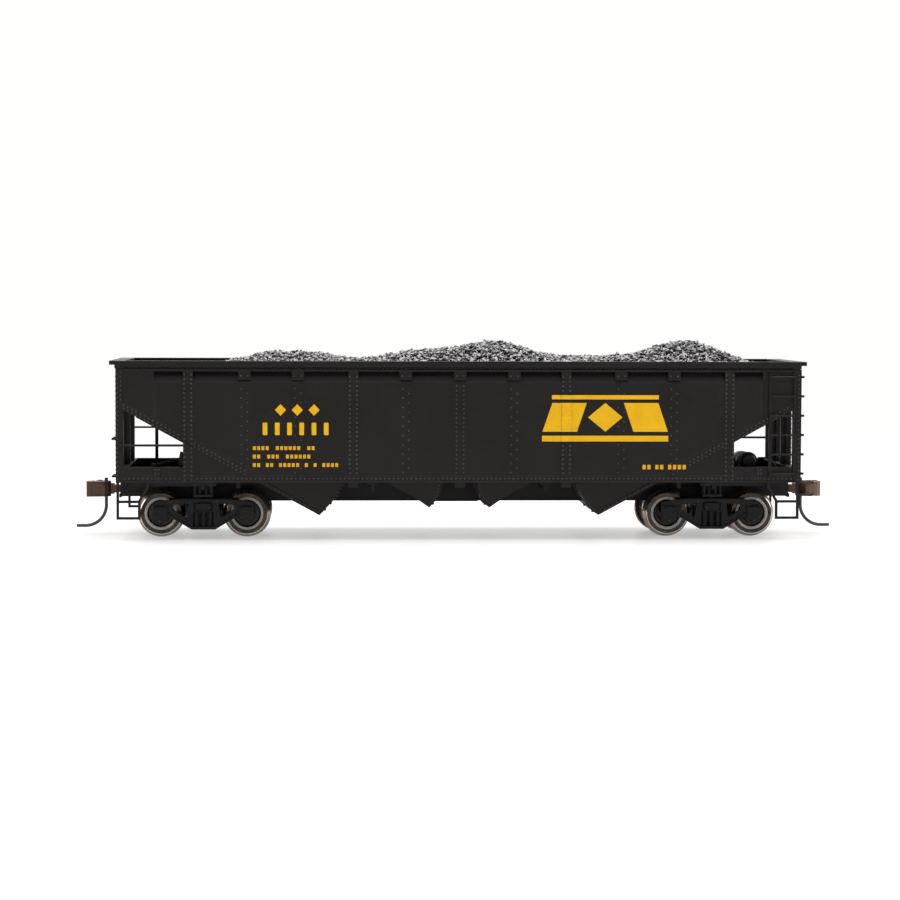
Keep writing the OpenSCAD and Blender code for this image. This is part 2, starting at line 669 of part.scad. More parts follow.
// dead lever on the A end platform, with its rod running outwards and down to a post
module brake_lever() color(black) {
  lever_x = -end_post_x;
  post_x = lever_x - 7.9;
  prism_xz([
    [lever_x - 2.2, deck_z], [lever_x - 0.9, deck_z], [lever_x - 0.8, 17.6],
    [lever_x - 1.0, 19.6], [lever_x - 1.9, 19.9], [lever_x - 2.3, 17.4]
  ], -15.2, -14.6);
  translate([lever_x - 1.55, -15.5, 18.6]) rotate([-90, 0, 0]) cylinder(d = 0.8, h = 1.2);
  rod([lever_x - 2.0, -14.9, 18.3], [post_x, -14.9, 16.7], 0.5);
  block(post_x - 0.5, post_x + 0.5, -15.4, -14.4, deck_z, 17.1);
  // cross rod on two uprights
  rod([post_x, -14.0, 15.4], [post_x, -9.5, 15.4], 0.5);
  block(post_x - 0.4, post_x + 0.4, -14.5, -13.9, deck_z, 15.9);
  block(post_x - 0.4, post_x + 0.4, -10.1, -9.3, deck_z, 15.9);
}

// ---------- coal load: mounds on a flat tray
// centre along X, height and spread of each bump, for a mound_h of 4.5
bumps = [[-36, 3.0, 7.5], [-8, 2.9, 8.5], [9.5, 4.5, 6.5], [30, 1.6, 11], [53.5, 5.3, 7.6]];
function bump(x, b) = b[1] * exp(-(x - b[0]) * (x - b[0]) / (2 * b[2] * b[2]));
// the dot product with ones adds the bumps up
function crest(x) = mound_h / 4.5 * ([for (b = bumps) bump(x, b)] * [for (b = bumps) 1]);
function coal_z(x, y) =
  rim_z - 1.7 + (crest(x) + 0.9 * (1 - pow(x / 76, 6))) * pow(cos(y / 16.4 * 90), 0.8);
cells_x = 60;
cells_y = 12;
coal_hx = half_len - 2.5;  // half length and half width of the load
coal_hy = inner_y - 1.5;
function vertex(i, j) = i * (cells_y + 1) + j;

module coal_load() color(coal_black) {
  xs = [for (i = [0:cells_x]) -coal_hx + 2 * coal_hx * i / cells_x];
  ys = [for (j = [0:cells_y]) -coal_hy + 2 * coal_hy * j / cells_y];
  top = [for (x = xs) for (y = ys) [x, y, coal_z(x, y)]];
  bottom = [for (p = top) [p[0], p[1], rim_z - 4.1]];
  // bottom corners, by the signs of x and y
  low = len(top);
  low_nn = low + vertex(0, 0);
  low_pn = low + vertex(cells_x, 0);
  low_pp = low + vertex(cells_x, cells_y);
  low_np = low + vertex(0, cells_y);
  polyhedron(points = concat(top, bottom), faces = concat(
    [for (i = [0:cells_x - 1]) for (j = [0:cells_y - 1])
      [vertex(i, j), vertex(i, j + 1), vertex(i + 1, j + 1)]],
    [for (i = [0:cells_x - 1]) for (j = [0:cells_y - 1])
      [vertex(i, j), vertex(i + 1, j + 1), vertex(i + 1, j)]],
    [[low_nn, low_pn, low_pp, low_np]],
    [[for (i = [0:cells_x]) vertex(i, 0), low_pn, low_nn]],
    [[for (i = [cells_x:-1:0]) vertex(i, cells_y), low_np, low_pp]],
    [[for (j = [cells_y:-1:0]) vertex(0, j), low_nn, low_np]],
    [[for (j = [0:cells_y]) vertex(cells_x, j), low_pp, low_pn]]));
}

// ---------- trucks
half_base = wheelbase / 2;
journal_r = 1.65;     // half width of a journal box
journal_y0 = 11.15;   // inner and outer faces of the journal boxes
journal_y1 = 13.9;
cover_r = 1.4;        // half width of a journal box cover

// one side frame, [x, z] about the truck centre
frame_pts = [
  [-11.3, 8.1], [-11.3, 6.2], [-half_base - journal_r, 5.3], [-half_base - journal_r, 4.9],
  [-half_base + journal_r, 4.5], [-7.3, 4.9], [-2.7, 2.1], [2.7, 2.1], [7.3, 4.9],
  [half_base - journal_r, 4.5], [half_base + journal_r, 4.9],
  [half_base + journal_r, 5.3], [11.3, 6.2], [11.3, 8.1],
  [9.6, 8.5], [6.0, 9.0], [-6.0, 9.0], [-9.6, 8.5]
];
// outer flange along the top, and the sloping one on the +X side, [x, z]
top_flange_pts = [
  [-9.4, 8.55], [-6, 9.0], [6, 9.0], [9.4, 8.55],
  [9.4, 8.05], [6, 8.45], [-6, 8.45], [-9.4, 8.05]
];
low_flange_pts = [[7.9, 5.9], [7.3, 5.3], [2.7, 2.6], [2.7, 2.1], [7.4, 4.9], [8.4, 5.4]];

// journal box with a rounded bottom, its cover and a lug on top
module journal_box() {
  translate([half_base, journal_y0, 4.9]) rotate([-90, 0, 0])
    cylinder(r = journal_r, h = journal_y1 - journal_y0);
  block(half_base - journal_r, half_base + journal_r, journal_y0, journal_y1, 4.9, 7.3);
  block(half_base - cover_r, half_base + cover_r, 13.85, 14.1, 5.0, 7.0);
  translate([half_base, 13.85, 5.0]) rotate([-90, 0, 0]) cylinder(r = cover_r, h = 0.25);
  block(half_base - 0.55, half_base + 0.55, 13.85, 14.3, 6.8, 7.25);
}

module spring_group() for (x = [-1.5, 0, 1.5]) translate([x, 12.85, 2.6]) {
  cylinder(r = 0.44, h = 3.7, $fn = 32);
  for (k = [0:4]) translate([0, 0, 0.35 + k * 0.66]) cylinder(r = 0.6, h = 0.3, $fn = 32);
}

module side_frame() {
  difference() {
    union() {
      prism_xz(frame_pts, 11.9, 13.2);
      both_x() journal_box();
      prism_xz(top_flange_pts, 13.1, 13.6);
      both_x() prism_xz(low_flange_pts, 13.1, 13.6);
      block(-2.75, 2.75, 13.1, 13.7, 2.1, 2.75);
      block(-1.6, 1.6, 13.1, 14.0, 6.55, 8.0);
    }
    // windows beside the spring group
    both_x() prism_xz([[3.4, 7.9], [6.7, 7.7], [6.9, 6.6], [3.9, 4.7]], 11, 14.5);
    // spring pocket and the recess round the bolster end
    block(-2.35, 2.35, 12.3, 14, 2.75, 6.1);
    block(-2.1, 2.1, 12.7, 13.3, 6.45, 8.15);
    // cone pocket for the axle point
    both_x() translate([half_base, 11.1, wheel_z]) rotate([-90, 0, 0])
      cylinder(r1 = axle_d / 2 + 0.35, r2 = 0.25, h = 1.78);
  }
  // bolster end standing in its recess
  block(-1.7, 1.7, 12.5, 13.9, 6.7, 7.9);
  spring_group();
}

// brake beams and shoe blanks moulded with the frame
module brake_beams() {
  both_x() block(2.0, 3.6, -7.0, 7.0, 4.6, 5.2);
  four_ways() {
    prism_xz([[3.2, 3.9], [3.9, 3.9], [3.75, 5.6], [3.9, 7.0], [3.3, 7.0]], 7.6, 9.2);
    block(1.9, 3.6, 6.6, 9.0, 4.7, 5.4);
  }
}

module truck_frame() color(iron) translate([truck_x, 0, 0]) difference() {
  union() {
    both_y() side_frame();
    // bolster between the frames, with its centre plate
    block(-2.2, 2.2, -12.0, 12.0, 5.2, 7.0);
    block(-1.5, 1.5, -12.0, 12.0, 3.2, 5.3);
    translate([0, 0, 6.9]) cylinder(r = 3.1, h = sill_bot - 6.9 - 0.06);
    brake_beams();
  }
  // kingpin bore and the recess for the screw's cap
  cylinder(d = kingpin_d + 2 * run_gap, h = 9);
  translate([0, 0, 2]) cylinder(d = 3.9, h = 2.9);
}

// ---------- wheelsets, each about its own axle line, with local +Z towards the near side
// axles 1 to 4 run from the A end to the B end
axle_x = [for (truck = [-truck_x, truck_x]) for (side = [-half_base, half_base]) truck + side];
bush_t = 0.5;
flange_r = flange_d / 2;
tread_r = tread_d / 2;

// wheel profile, [radius, distance out from the back of the wheel]
function wheel_pts(bore_r) = [
  [bore_r, -0.25], [1.9, -0.25], [2.1, 0.35], [3.6, 0.55], [3.9, 0.05],
  [flange_r - 0.35, 0], [flange_r - 0.08, 0.16], [flange_r, 0.38], [flange_r - 0.12, 0.6],
  [tread_r + 0.14, 0.82], [tread_r + 0.03, 0.98],
  [tread_r - 0.04, wheel_w - 0.18], [tread_r - 0.2, wheel_w],
  [3.78, wheel_w], [3.66, wheel_w - 0.05], [3.42, wheel_w - 0.13], [3.16, wheel_w - 0.30],
  [3.0, wheel_w - 0.85], [2.8, wheel_w - 0.98], [1.95, wheel_w - 1.0],
  [1.75, wheel_w - 0.35], [1.62, wheel_w - 0.25], [bore_r, wheel_w - 0.25]
];

module on_axle(i) translate([axle_x[i - 1], 0, wheel_z]) rotate([90, 0, 0]) children();

module wheel(bore_r) color(bright)
  translate([0, 0, back_to_back / 2]) rotate_extrude($fn = 96) polygon(wheel_pts(bore_r));

// the near wheel rides on an insulating bush, the far one on the axle itself
module near_wheel() wheel(axle_d / 2 + bush_t);
module far_wheel() mirror([0, 0, 1]) wheel(axle_d / 2);

module axle() color(iron) {
  half = axle_len / 2;
  cone_l = 1.66;
  point_d = 0.24;
  translate([0, 0, -half + cone_l]) cylinder(d = axle_d, h = 2 * (half - cone_l));
  translate([0, 0, half - cone_l]) cylinder(d1 = axle_d, d2 = point_d, h = cone_l);
  translate([0, 0, -half]) cylinder(d1 = point_d, d2 = axle_d, h = cone_l);
}

module bush() color([0.2, 0.2, 0.2])
  translate([0, 0, back_to_back / 2 - 0.6]) difference() {
    cylinder(d = axle_d + 2 * bush_t, h = wheel_w + 0.5);
    translate([0, 0, -1]) cylinder(d = axle_d, h = wheel_w + 3);
  }

// ---------- couplers, B end
// The head is drawn in its own frame, a little nearer mid-car than the pivot's.
knuckle_pin_at = [11.7, -1.5];
trip_pin_at = [10.1, 0.1];
trip_arm = trip_pin_at - knuckle_pin_at;
sweep_r = norm(trip_arm);
sweep_start = atan2(trip_arm[1], trip_arm[0]);
open_deg = 30;        // how far the knuckle opens
plate_t = 0.6;        // top and bottom plates of the head
half_head = head_h / 2;
slot_h = head_h - 2 * plate_t;
pin_bore_d = 0.8;     // knuckle pin bore in the head

// plan outlines, [x, y]
head_pts = [
  [9.0, -1.0], [9.6, -1.75], [10.6, -2.3], [12.2, -2.45], [12.6, -1.9], [12.5, -0.7],
  [12.1, -0.2], [12.1, 0.6], [12.7, 1.15], [13.9, 1.6], [14.5, 2.1], [14.35, 2.7],
  [13.4, 2.75], [11.6, 2.55], [10.3, 2.3], [9.5, 1.75], [9.0, 1.0]
];
slot_pts = [
  [9.45, -3], [9.45, 0.9], [10.4, 1.6], [11.9, 1.6],
  [11.9, 0.75], [13.4, 0.75], [15, -1], [13, -4]
];
knuckle_pts = [
  [12.75, -0.85], [12.75, -2.35], [13.7, -2.3], [14.35, -1.85], [14.6, -1.1], [14.6, -0.2],
  [14.35, 0.3], [13.95, 0.45], [13.6, 0.2], [13.55, -0.35], [13.25, -0.75]
];
tang_pts = [
  [13.1, -0.8], [13.1, -2.3], [11.7, -2.3], [11.0, -1.9], [9.75, -0.5],
  [9.6, 0.2], [9.95, 0.7], [10.5, 0.6], [11.2, -0.4], [12.2, -0.75]
];

module at_pivot() translate([pivot_x, 0, coupler_z]) children();
module at_head() translate([pivot_x - 0.8, 0, coupler_z]) children();
// bore at [x, y], right through the head
module head_bore(at, d) translate([at[0], at[1], -3]) cylinder(d = d, h = 6);

module coupler() color(bronze) difference() {
  union() {
    at_pivot() {
      // ring, shank and the collar on it
      translate([0, 0, -0.85]) cylinder(d = 4.2, h = 1.7);
      block(0, 8.4, -0.95, 0.95, -0.85, 0.85);
      block(6.4, 7.2, -1.25, 1.25, -0.9, 0.9);
    }
    at_head() {
      translate([0, 0, -half_head]) linear_extrude(head_h) polygon(head_pts);
      block(8.2, 9.4, -0.95, 0.95, -1.2, 1.2);
      block(10.2, 12.8, 2.3, 2.72, -0.9, 0.9);
      block(10.2, 11.7, -2.5, -2.2, 0.1, 1.0);
    }
  }
  at_pivot() translate([0, 0, -2]) cylinder(d = pivot_d + 2 * run_gap, h = 4);
  at_head() {
    // the slot between the top and bottom plates, where the knuckle works
    translate([0, 0, -half_head + plate_t]) linear_extrude(slot_h) polygon(slot_pts);
    head_bore(knuckle_pin_at, pin_bore_d);
    // the arc the trip pin sweeps
    translate([knuckle_pin_at[0], knuckle_pin_at[1], -3])
      rotate([0, 0, sweep_start - open_deg - 10])
        rotate_extrude(angle = open_deg + 20, $fn = 64)
          translate([sweep_r - trip_d / 2 - 0.12, 0]) square([trip_d + 0.24, 6]);
  }
}

module knuckle() color(bronze) at_head() difference() {
  union() {
    translate([0, 0, -half_head + 0.05]) linear_extrude(head_h - 0.1) polygon(knuckle_pts);
    // tang round the pin and the tail that holds the trip pin
    translate([0, 0, -half_head + plate_t + 0.06])
      linear_extrude(slot_h - 0.12) polygon(tang_pts);
  }
  head_bore(knuckle_pin_at, pin_bore_d + 2 * run_gap);
  head_bore(trip_pin_at, trip_d);
}

module knuckle_pin() color(iron)
  at_head() translate([knuckle_pin_at[0], knuckle_pin_at[1], -half_head]) {
    cylinder(d = 0.78, h = head_h);
    translate([0, 0, head_h]) cylinder(d = 1.1, h = 0.15);
  }

// wire that hangs straight, then sweeps outwards like a brake hose
module trip_pin() color([0.25, 0.25, 0.24])
  at_head() translate([trip_pin_at[0], trip_pin_at[1], 0]) {
    bend_r = 4.7;
    bend_z = -half_head - 2.1;
    translate([0, 0, bend_z]) cylinder(d = trip_d, h = half_head + 0.75 - bend_z, $fn = 32);
    translate([bend_r, 0, bend_z]) rotate([-90, 0, 0]) rotate([0, 0, 90])
      rotate_extrude(angle = 90, $fn = 64)
        translate([bend_r, 0]) circle(d = trip_d, $fn = 32);
    translate([bend_r, 0, bend_z - bend_r]) rotate([0, 90, 0])
      cylinder(d = trip_d, h = 2.1, $fn = 32);
  }

body_shell();
underframe();
hopper_pockets();
mirror([1, 0, 0]) outer_door();  // hopper_door_1
mirror([1, 0, 0]) inner_door();  // hopper_door_2
inner_door();  // hopper_door_3
outer_door();  // hopper_door_4
ballast_bar();
side_ladder();  // side_ladder_near
turned() side_ladder();  // side_ladder_far
turned() end_ladder();  // end_ladder_a
end_ladder();  // end_ladder_b
side_rail();  // side_rail_near
turned() side_rail();  // side_rail_far
end_grab_irons();  // end_grab_irons_a
turned() end_grab_irons();  // end_grab_irons_b
mirror([1, 0, 0]) stirrup();  // stirrup_a_near
turned() stirrup();  // stirrup_a_far
stirrup();  // stirrup_b_near
mirror([0, 1, 0]) stirrup();  // stirrup_b_far
brake_cylinder();
air_reservoir();
triple_valve();
brake_rods();
brake_lever();
turned() draft_box_lid();  // draft_box_lid_a
draft_box_lid();  // draft_box_lid_b
draft_box_screws();
kingpin_screws();
turned() centering_spring();  // centering_spring_a
centering_spring();  // centering_spring_b
coal_load();
turned() truck_frame();  // truck_frame_a
truck_frame();  // truck_frame_b
on_axle(1) axle();  // axle_1
on_axle(2) axle();  // axle_2
on_axle(3) axle();  // axle_3
on_axle(4) axle();  // axle_4
on_axle(1) near_wheel();  // wheel_1_near
on_axle(2) near_wheel();  // wheel_2_near
on_axle(3) near_wheel();  // wheel_3_near
on_axle(4) near_wheel();  // wheel_4_near
on_axle(1) far_wheel();  // wheel_1_far
on_axle(2) far_wheel();  // wheel_2_far
on_axle(3) far_wheel();  // wheel_3_far
on_axle(4) far_wheel();  // wheel_4_far
on_axle(1) bush();  // insulating_bush_1
on_axle(2) bush();  // insulating_bush_2
on_axle(3) bush();  // insulating_bush_3
on_axle(4) bush();  // insulating_bush_4
turned() coupler();  // coupler_a
coupler();  // coupler_b
turned() knuckle();  // knuckle_a
knuckle();  // knuckle_b
turned() knuckle_pin();  // knuckle_pin_a
knuckle_pin();  // knuckle_pin_b
turned() trip_pin();  // trip_pin_a
trip_pin();  // trip_pin_b
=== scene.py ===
"""Model of an open hopper car with a coal load, on a white studio floor.

The car lies along X, with end a at -X and end b at +X. Z is up and the floor is at z = 0.
The near side faces -Y, towards the camera; the far side faces +Y.
Meshes are laid out in millimetres; materials, lights and the camera are in metres.
"""
import math
import random

import bpy
from mathutils import Matrix, Vector


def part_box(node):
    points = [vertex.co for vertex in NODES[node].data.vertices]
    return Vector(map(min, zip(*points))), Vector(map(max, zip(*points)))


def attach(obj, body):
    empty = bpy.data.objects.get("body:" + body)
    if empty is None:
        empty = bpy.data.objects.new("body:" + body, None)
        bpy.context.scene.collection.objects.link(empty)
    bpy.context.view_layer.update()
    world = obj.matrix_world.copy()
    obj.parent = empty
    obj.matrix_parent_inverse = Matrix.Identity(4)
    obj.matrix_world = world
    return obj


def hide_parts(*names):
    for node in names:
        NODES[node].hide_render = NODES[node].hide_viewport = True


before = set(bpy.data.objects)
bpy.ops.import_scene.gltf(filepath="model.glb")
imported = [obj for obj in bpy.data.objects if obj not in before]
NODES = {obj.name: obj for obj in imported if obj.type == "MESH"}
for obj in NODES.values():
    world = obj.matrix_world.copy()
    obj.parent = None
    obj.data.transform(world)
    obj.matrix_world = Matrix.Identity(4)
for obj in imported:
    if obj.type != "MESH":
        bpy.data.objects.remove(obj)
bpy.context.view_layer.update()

MM = 0.001

SIDES = (("near", -1), ("far", 1))     # name, sign of y
ENDS = (("a", -1), ("b", 1))           # name, sign of x

# Car body, in millimetres
SIDE_Y = 18.1                          # outer face of the side sheets
END_X = 77.1                           # face of the end sills
RIM_Z = 40.3
SILL_Z = 13.0
OUTER_POST, INNER_POST = 61.0, 24.0    # x of the main posts
TAB_X = (12.2, 36.4, 48.4)             # x of the tabs beside the middle one
SLOPE_FOOT_X, SLOPE_FOOT_Z = 31.6, 5.5
SLOPE_TOP_Z = 29.8
SLOPE = (SLOPE_TOP_Z - SLOPE_FOOT_Z) / (END_X - 0.9 - SLOPE_FOOT_X)
SLOPE_ANGLE = math.atan(SLOPE)


def slope_z(x):
    """Height of the slope sheet at a distance x from the middle of the car."""
    return SLOPE_FOOT_Z + (x - SLOPE_FOOT_X) * SLOPE


def steps(start, stop, pitch):
    """Evenly spaced values from start, ending before stop."""
    value = start
    while value < stop:
        yield value
        value += pitch


# ------------------------------------------------------------------ node helpers
class Graph:
    """Node shorthand. A value is a number, a tuple or the output socket of another node."""

    def __init__(self, tree):
        self.tree = tree
        tree.nodes.clear()

    def feed(self, socket, value):
        if isinstance(value, tuple):
            # a colour gets an alpha of 1, a vector stays at three numbers
            socket.default_value = (*value, 1)[:len(socket.default_value)]
        elif isinstance(value, (int, float)):
            socket.default_value = value
        else:
            self.tree.links.new(value, socket)

    def node(self, kind, feeds=None, **props):
        node = self.tree.nodes.new(kind)
        for key, value in props.items():
            setattr(node, key, value)
        for key, value in (feeds or {}).items():
            self.feed(node.inputs[key], value)
        return node

    def remap(self, value, to, over, kind="LINEAR"):
        """Carries the range `over` onto the range `to`."""
        feeds = {"From Min": over[0], "From Max": over[1],
                 "To Min": to[0], "To Max": to[1], "Value": value}
        return self.node("ShaderNodeMapRange", feeds, interpolation_type=kind).outputs["Result"]

    def math(self, operation, *values, clamp=False):
        node = self.node("ShaderNodeMath", dict(enumerate(values)),
                         operation=operation, use_clamp=clamp)
        return node.outputs[0]

    def plus(self, a, b):
        return self.math("ADD", a, b)

    def times(self, a, b, clamp=False):
        return self.math("MULTIPLY", a, b, clamp=clamp)


class Material(Graph):
    """A node material with one Principled shader, textured in object space."""

    INPUTS = {"base": "Base Color", "rough": "Roughness", "metal": "Metallic",
              "normal": "Normal", "spec": "Specular IOR Level", "tint": "Specular Tint",
              "coat": "Coat Weight", "coat_rough": "Coat Roughness"}

    def __init__(self, name):
        self.material = bpy.data.materials.new(name)
        self.material.use_nodes = True
        super().__init__(self.material.node_tree)
        self.output = self.node("ShaderNodeOutputMaterial").inputs[0]
        self.principled = self.node("ShaderNodeBsdfPrincipled")
        self.feed(self.output, self.principled.outputs[0])
        self.position = self.node("ShaderNodeTexCoord").outputs["Object"]

    def noise(self, scale, detail=3.0, rough=0.55, at=None):
        feeds = {"Scale": scale, "Detail": detail, "Roughness": rough, "Distortion": 0.0,
                 "Vector": at or self.position}
        return self.node("ShaderNodeTexNoise", feeds).outputs["Fac"]

    def spread(self, noise, to=(0.0, 1.0)):
        """Stretches the middle band of a noise, where most of its values lie."""
        return self.remap(noise, to=to, over=(0.3, 0.7))

    def rise(self, value, over):
        return self.remap(value, to=(0.0, 1.0), over=over)

    def fall(self, value, over):
        return self.remap(value, to=(1.0, 0.0), over=over)

    def mix(self, factor, a, b):
        feeds = {"Factor": factor, 6: a, 7: b}
        return self.node("ShaderNodeMix", feeds, data_type="RGBA", blend_type="MIX").outputs[2]

    def bump(self, height, strength, distance, under=None):
        feeds = {"Strength": strength, "Distance": distance, "Height": height}
        if under is not None:
            feeds["Normal"] = under
        return self.node("ShaderNodeBump", feeds).outputs["Normal"]

    def edge(self, radius, gain=5.0):
        """Mask of the edges, where the materials paint a highlight, and the rounded normal."""
        bevel = self.node("ShaderNodeBevel", {"Radius": radius}, samples=4).outputs[0]
        flat = self.node("ShaderNodeNewGeometry").outputs["Normal"]
        dot = self.node("ShaderNodeVectorMath", {0: bevel, 1: flat}, operation="DOT_PRODUCT")
        bend = self.math("SUBTRACT", 1.0, dot.outputs["Value"])
        return self.times(bend, gain, clamp=True), bevel

    def finish(self, **values):
        for key, value in values.items():
            self.feed(self.principled.inputs[self.INPUTS[key]], value)
        return self.material


def scaled(colour, gain):
    return tuple(min(1.0, c * gain) for c in colour)


# ------------------------------------------------------------------ materials
def moulded(name, dark, light, rough=(0.36, 0.50), grain=0.35, edge_light=2.6,
            radius=0.00016, spec=0.25):
    """Satin moulded and painted plastic: cloudy tone, fine grain, and a painted highlight on the
    edges.
    """
    m = Material(name)
    cloud = m.noise(scale=90.0, detail=4.0, rough=0.6)
    fine = m.noise(scale=5200.0, detail=2.0, rough=0.6)
    spots = m.noise(scale=900.0, detail=3.0, rough=0.65)
    base = m.mix(m.remap(cloud, to=(0.0, 1.0), over=(0.35, 0.65)), dark, light)
    base = m.mix(m.remap(spots, to=(0.0, 0.35), over=(0.5, 0.75)), base, scaled(light, gain=1.5))
    mask, rounded = m.edge(radius)
    # painted highlight: the edges are mixed towards a lighter colour, made patchy by the spots
    # noise, to stand in for light catching them
    edge_highlight = m.times(mask, m.spread(spots, to=(0.25, 0.9)))
    base = m.mix(edge_highlight, base, scaled(light, gain=edge_light))
    roughness = m.plus(m.spread(cloud, to=rough), m.spread(fine, to=(-0.05, 0.05)))
    pitted = m.bump(spots, strength=0.25, distance=0.00003, under=rounded)
    normal = m.bump(fine, strength=grain, distance=0.00002, under=pitted)
    return m.finish(base=base, rough=roughness, normal=normal, spec=spec)


def wheel_metal(name, axle_x, axle_z):
    """Turned, brown-tinted metal; the tool marks run round the axle."""
    m = Material(name)
    from_axle = m.node("ShaderNodeVectorMath", {0: m.position, 1: (axle_x, 0, axle_z)},
                       operation="SUBTRACT").outputs[0]
    x, y, z = m.node("ShaderNodeSeparateXYZ", {0: from_axle}).outputs
    radius = m.math("SQRT", m.plus(m.times(x, x), m.times(z, z)))
    turned = m.node("ShaderNodeCombineXYZ", {0: radius, 1: m.times(y, 1.0)}).outputs[0]
    rings = m.noise(scale=9000.0, detail=2.0, rough=0.5, at=turned)
    cloud = m.noise(scale=420.0, detail=3.0, rough=0.6)
    smut = m.noise(scale=1500.0, detail=4.0, rough=0.7)
    across = m.math("ABSOLUTE", y)     # distance from the centre line of the car

    # zones of the wheel, each with a narrow soft border
    face = m.rise(across, over=(0.01002, 0.01004))
    back = m.fall(across, over=(0.00727, 0.00732))
    inner = m.fall(radius, over=(0.00302, 0.00312))
    bevel = m.times(m.rise(radius, over=(0.00304, 0.00312)),
                    m.fall(radius, over=(0.00368, 0.00374)))
    bevel = m.times(bevel, m.rise(across, over=(0.0090, 0.0092)))
    flange = m.times(m.rise(radius, over=(0.00484, 0.00490)),
                     m.fall(across, over=(0.0084, 0.0086)))

    # bright turned tread, then browned flange, rim face and back
    tone = m.spread(cloud)
    base = m.mix(tone, (0.62, 0.585, 0.55), (0.80, 0.775, 0.745))
    for zone, dark, light in (
        (flange, (0.24, 0.198, 0.165), (0.36, 0.31, 0.27)),
        (face, (0.034, 0.026, 0.021), (0.070, 0.054, 0.043)),
        (back, (0.070, 0.056, 0.048), (0.12, 0.098, 0.085)),
    ):
        base = m.mix(zone, base, m.mix(tone, dark, light))
    # dark plate and hub, smut over all, and the bevel inside the rim painted near white, a
    # painted highlight standing in for the light it reflects
    base = m.mix(inner, base, (0.030, 0.026, 0.025))
    smutted = m.remap(smut, to=(0.0, 0.35), over=(0.55, 0.78))
    base = m.mix(smutted, base, (0.09, 0.078, 0.07))
    base = m.mix(bevel, base, m.mix(tone, (0.62, 0.595, 0.565), (0.86, 0.835, 0.80)))

    rough = m.plus(m.spread(rings, to=(0.12, 0.26)),
                   m.remap(smut, to=(0.0, 0.16), over=(0.5, 0.8)))
    # the painted highlight on the bevel is also made rougher and mostly non-metal, so it stays
    # light whatever it faces
    rough = m.plus(rough, m.times(bevel, 0.12))
    metal = m.math("SUBTRACT", 1.0, m.times(bevel, 0.80))
    mask, rounded = m.edge(radius=0.00006, gain=3.0)
    # painted highlight: the edges are mixed towards a light colour to stand in for light
    # catching them
    base = m.mix(m.times(mask, 0.7), base, (0.80, 0.77, 0.73))
    normal = m.bump(rings, strength=0.30, distance=0.000012, under=rounded)
    return m.finish(base=base, rough=rough, metal=metal, normal=normal)


def plain_metal(name, dark, light, rough, metal=1.0, scale=700.0, edge=(0.7, 0.68, 0.65)):
    """Clouded metal with a painted highlight on the edges."""
    m = Material(name)
    cloud = m.noise(scale=scale, detail=4.0, rough=0.6)
    fine = m.noise(scale=scale * 7, detail=2.0, rough=0.5)
    base = m.mix(m.spread(cloud), dark, light)
    mask, rounded = m.edge(radius=0.00008, gain=3.5)
    # painted highlight: the edges are mixed towards the edge colour to stand in for light
    # catching them
    base = m.mix(m.times(mask, 0.6), base, edge)
    roughness = m.plus(m.spread(cloud, to=rough), m.spread(fine, to=(-0.04, 0.04)))
    normal = m.bump(fine, strength=0.3, distance=0.00002, under=rounded)
    return m.finish(base=base, rough=roughness, metal=metal, normal=normal)


def paint(name, dark, light):
    """Pad-printed paint: slightly uneven film."""
    rough = 0.42
    m = Material(name)
    cloud = m.noise(scale=260.0, detail=4.0, rough=0.6)
    fine = m.noise(scale=4200.0, detail=2.0, rough=0.6)
    base = m.mix(m.spread(cloud), dark, light)
    thin = m.remap(fine, to=(0.0, 0.4), over=(0.62, 0.8))
    base = m.mix(thin, base, scaled(dark, gain=0.6))
    return m.finish(base=base, rough=m.spread(cloud, to=(rough - 0.06, rough + 0.08)),
                    normal=m.bump(fine, strength=0.35, distance=0.00002), spec=0.25)


def glossy_coal(name):
    m = Material(name)
    cloud = m.noise(scale=700.0, detail=3.0, rough=0.6)
    fine = m.noise(scale=3800.0, detail=4.0, rough=0.65)
    cells = m.node("ShaderNodeTexVoronoi", {"Scale": 1500.0, "Vector": m.position})
    base = m.mix(m.spread(cloud), (0.005, 0.005, 0.006), (0.018, 0.018, 0.021))
    rough = m.plus(m.spread(cloud, to=(0.07, 0.20)), m.spread(fine, to=(-0.05, 0.10)))
    facets = m.bump(cells.outputs["Distance"], strength=0.3, distance=0.0001)
    normal = m.bump(fine, strength=0.30, distance=0.00006, under=facets)
    return m.finish(base=base, rough=rough, normal=normal, spec=0.75, tint=(1.0, 0.95, 0.94),
                    coat=0.62, coat_rough=0.07)


BODY = moulded("body_satin_black", dark=(0.0074, 0.0060, 0.0058), light=(0.0102, 0.0084, 0.0081))
FITTING = moulded("fitting_black", dark=(0.0070, 0.0058, 0.0057), light=(0.0100, 0.0085, 0.0083),
                  rough=(0.34, 0.46), radius=0.00009)
UNDER = moulded("underframe_black", dark=(0.0062, 0.0054, 0.0053),
                light=(0.0095, 0.0083, 0.0081), rough=(0.45, 0.6))
TRUCK = moulded("truck_black", dark=(0.0050, 0.0048, 0.0052), light=(0.0082, 0.0079, 0.0085),
                rough=(0.34, 0.46), radius=0.00012, spec=0.22)
# rivet and bolt heads: the body's black plastic painted over twice as light, a painted highlight
# so they read as lighter dots
RIVET_HIGHLIGHTED = moulded("rivet_black_highlighted", dark=(0.017, 0.015, 0.0142), light=(0.027, 0.024, 0.0225),
                rough=(0.26, 0.36), grain=0.2, edge_light=1.6, radius=0.00006, spec=0.55)
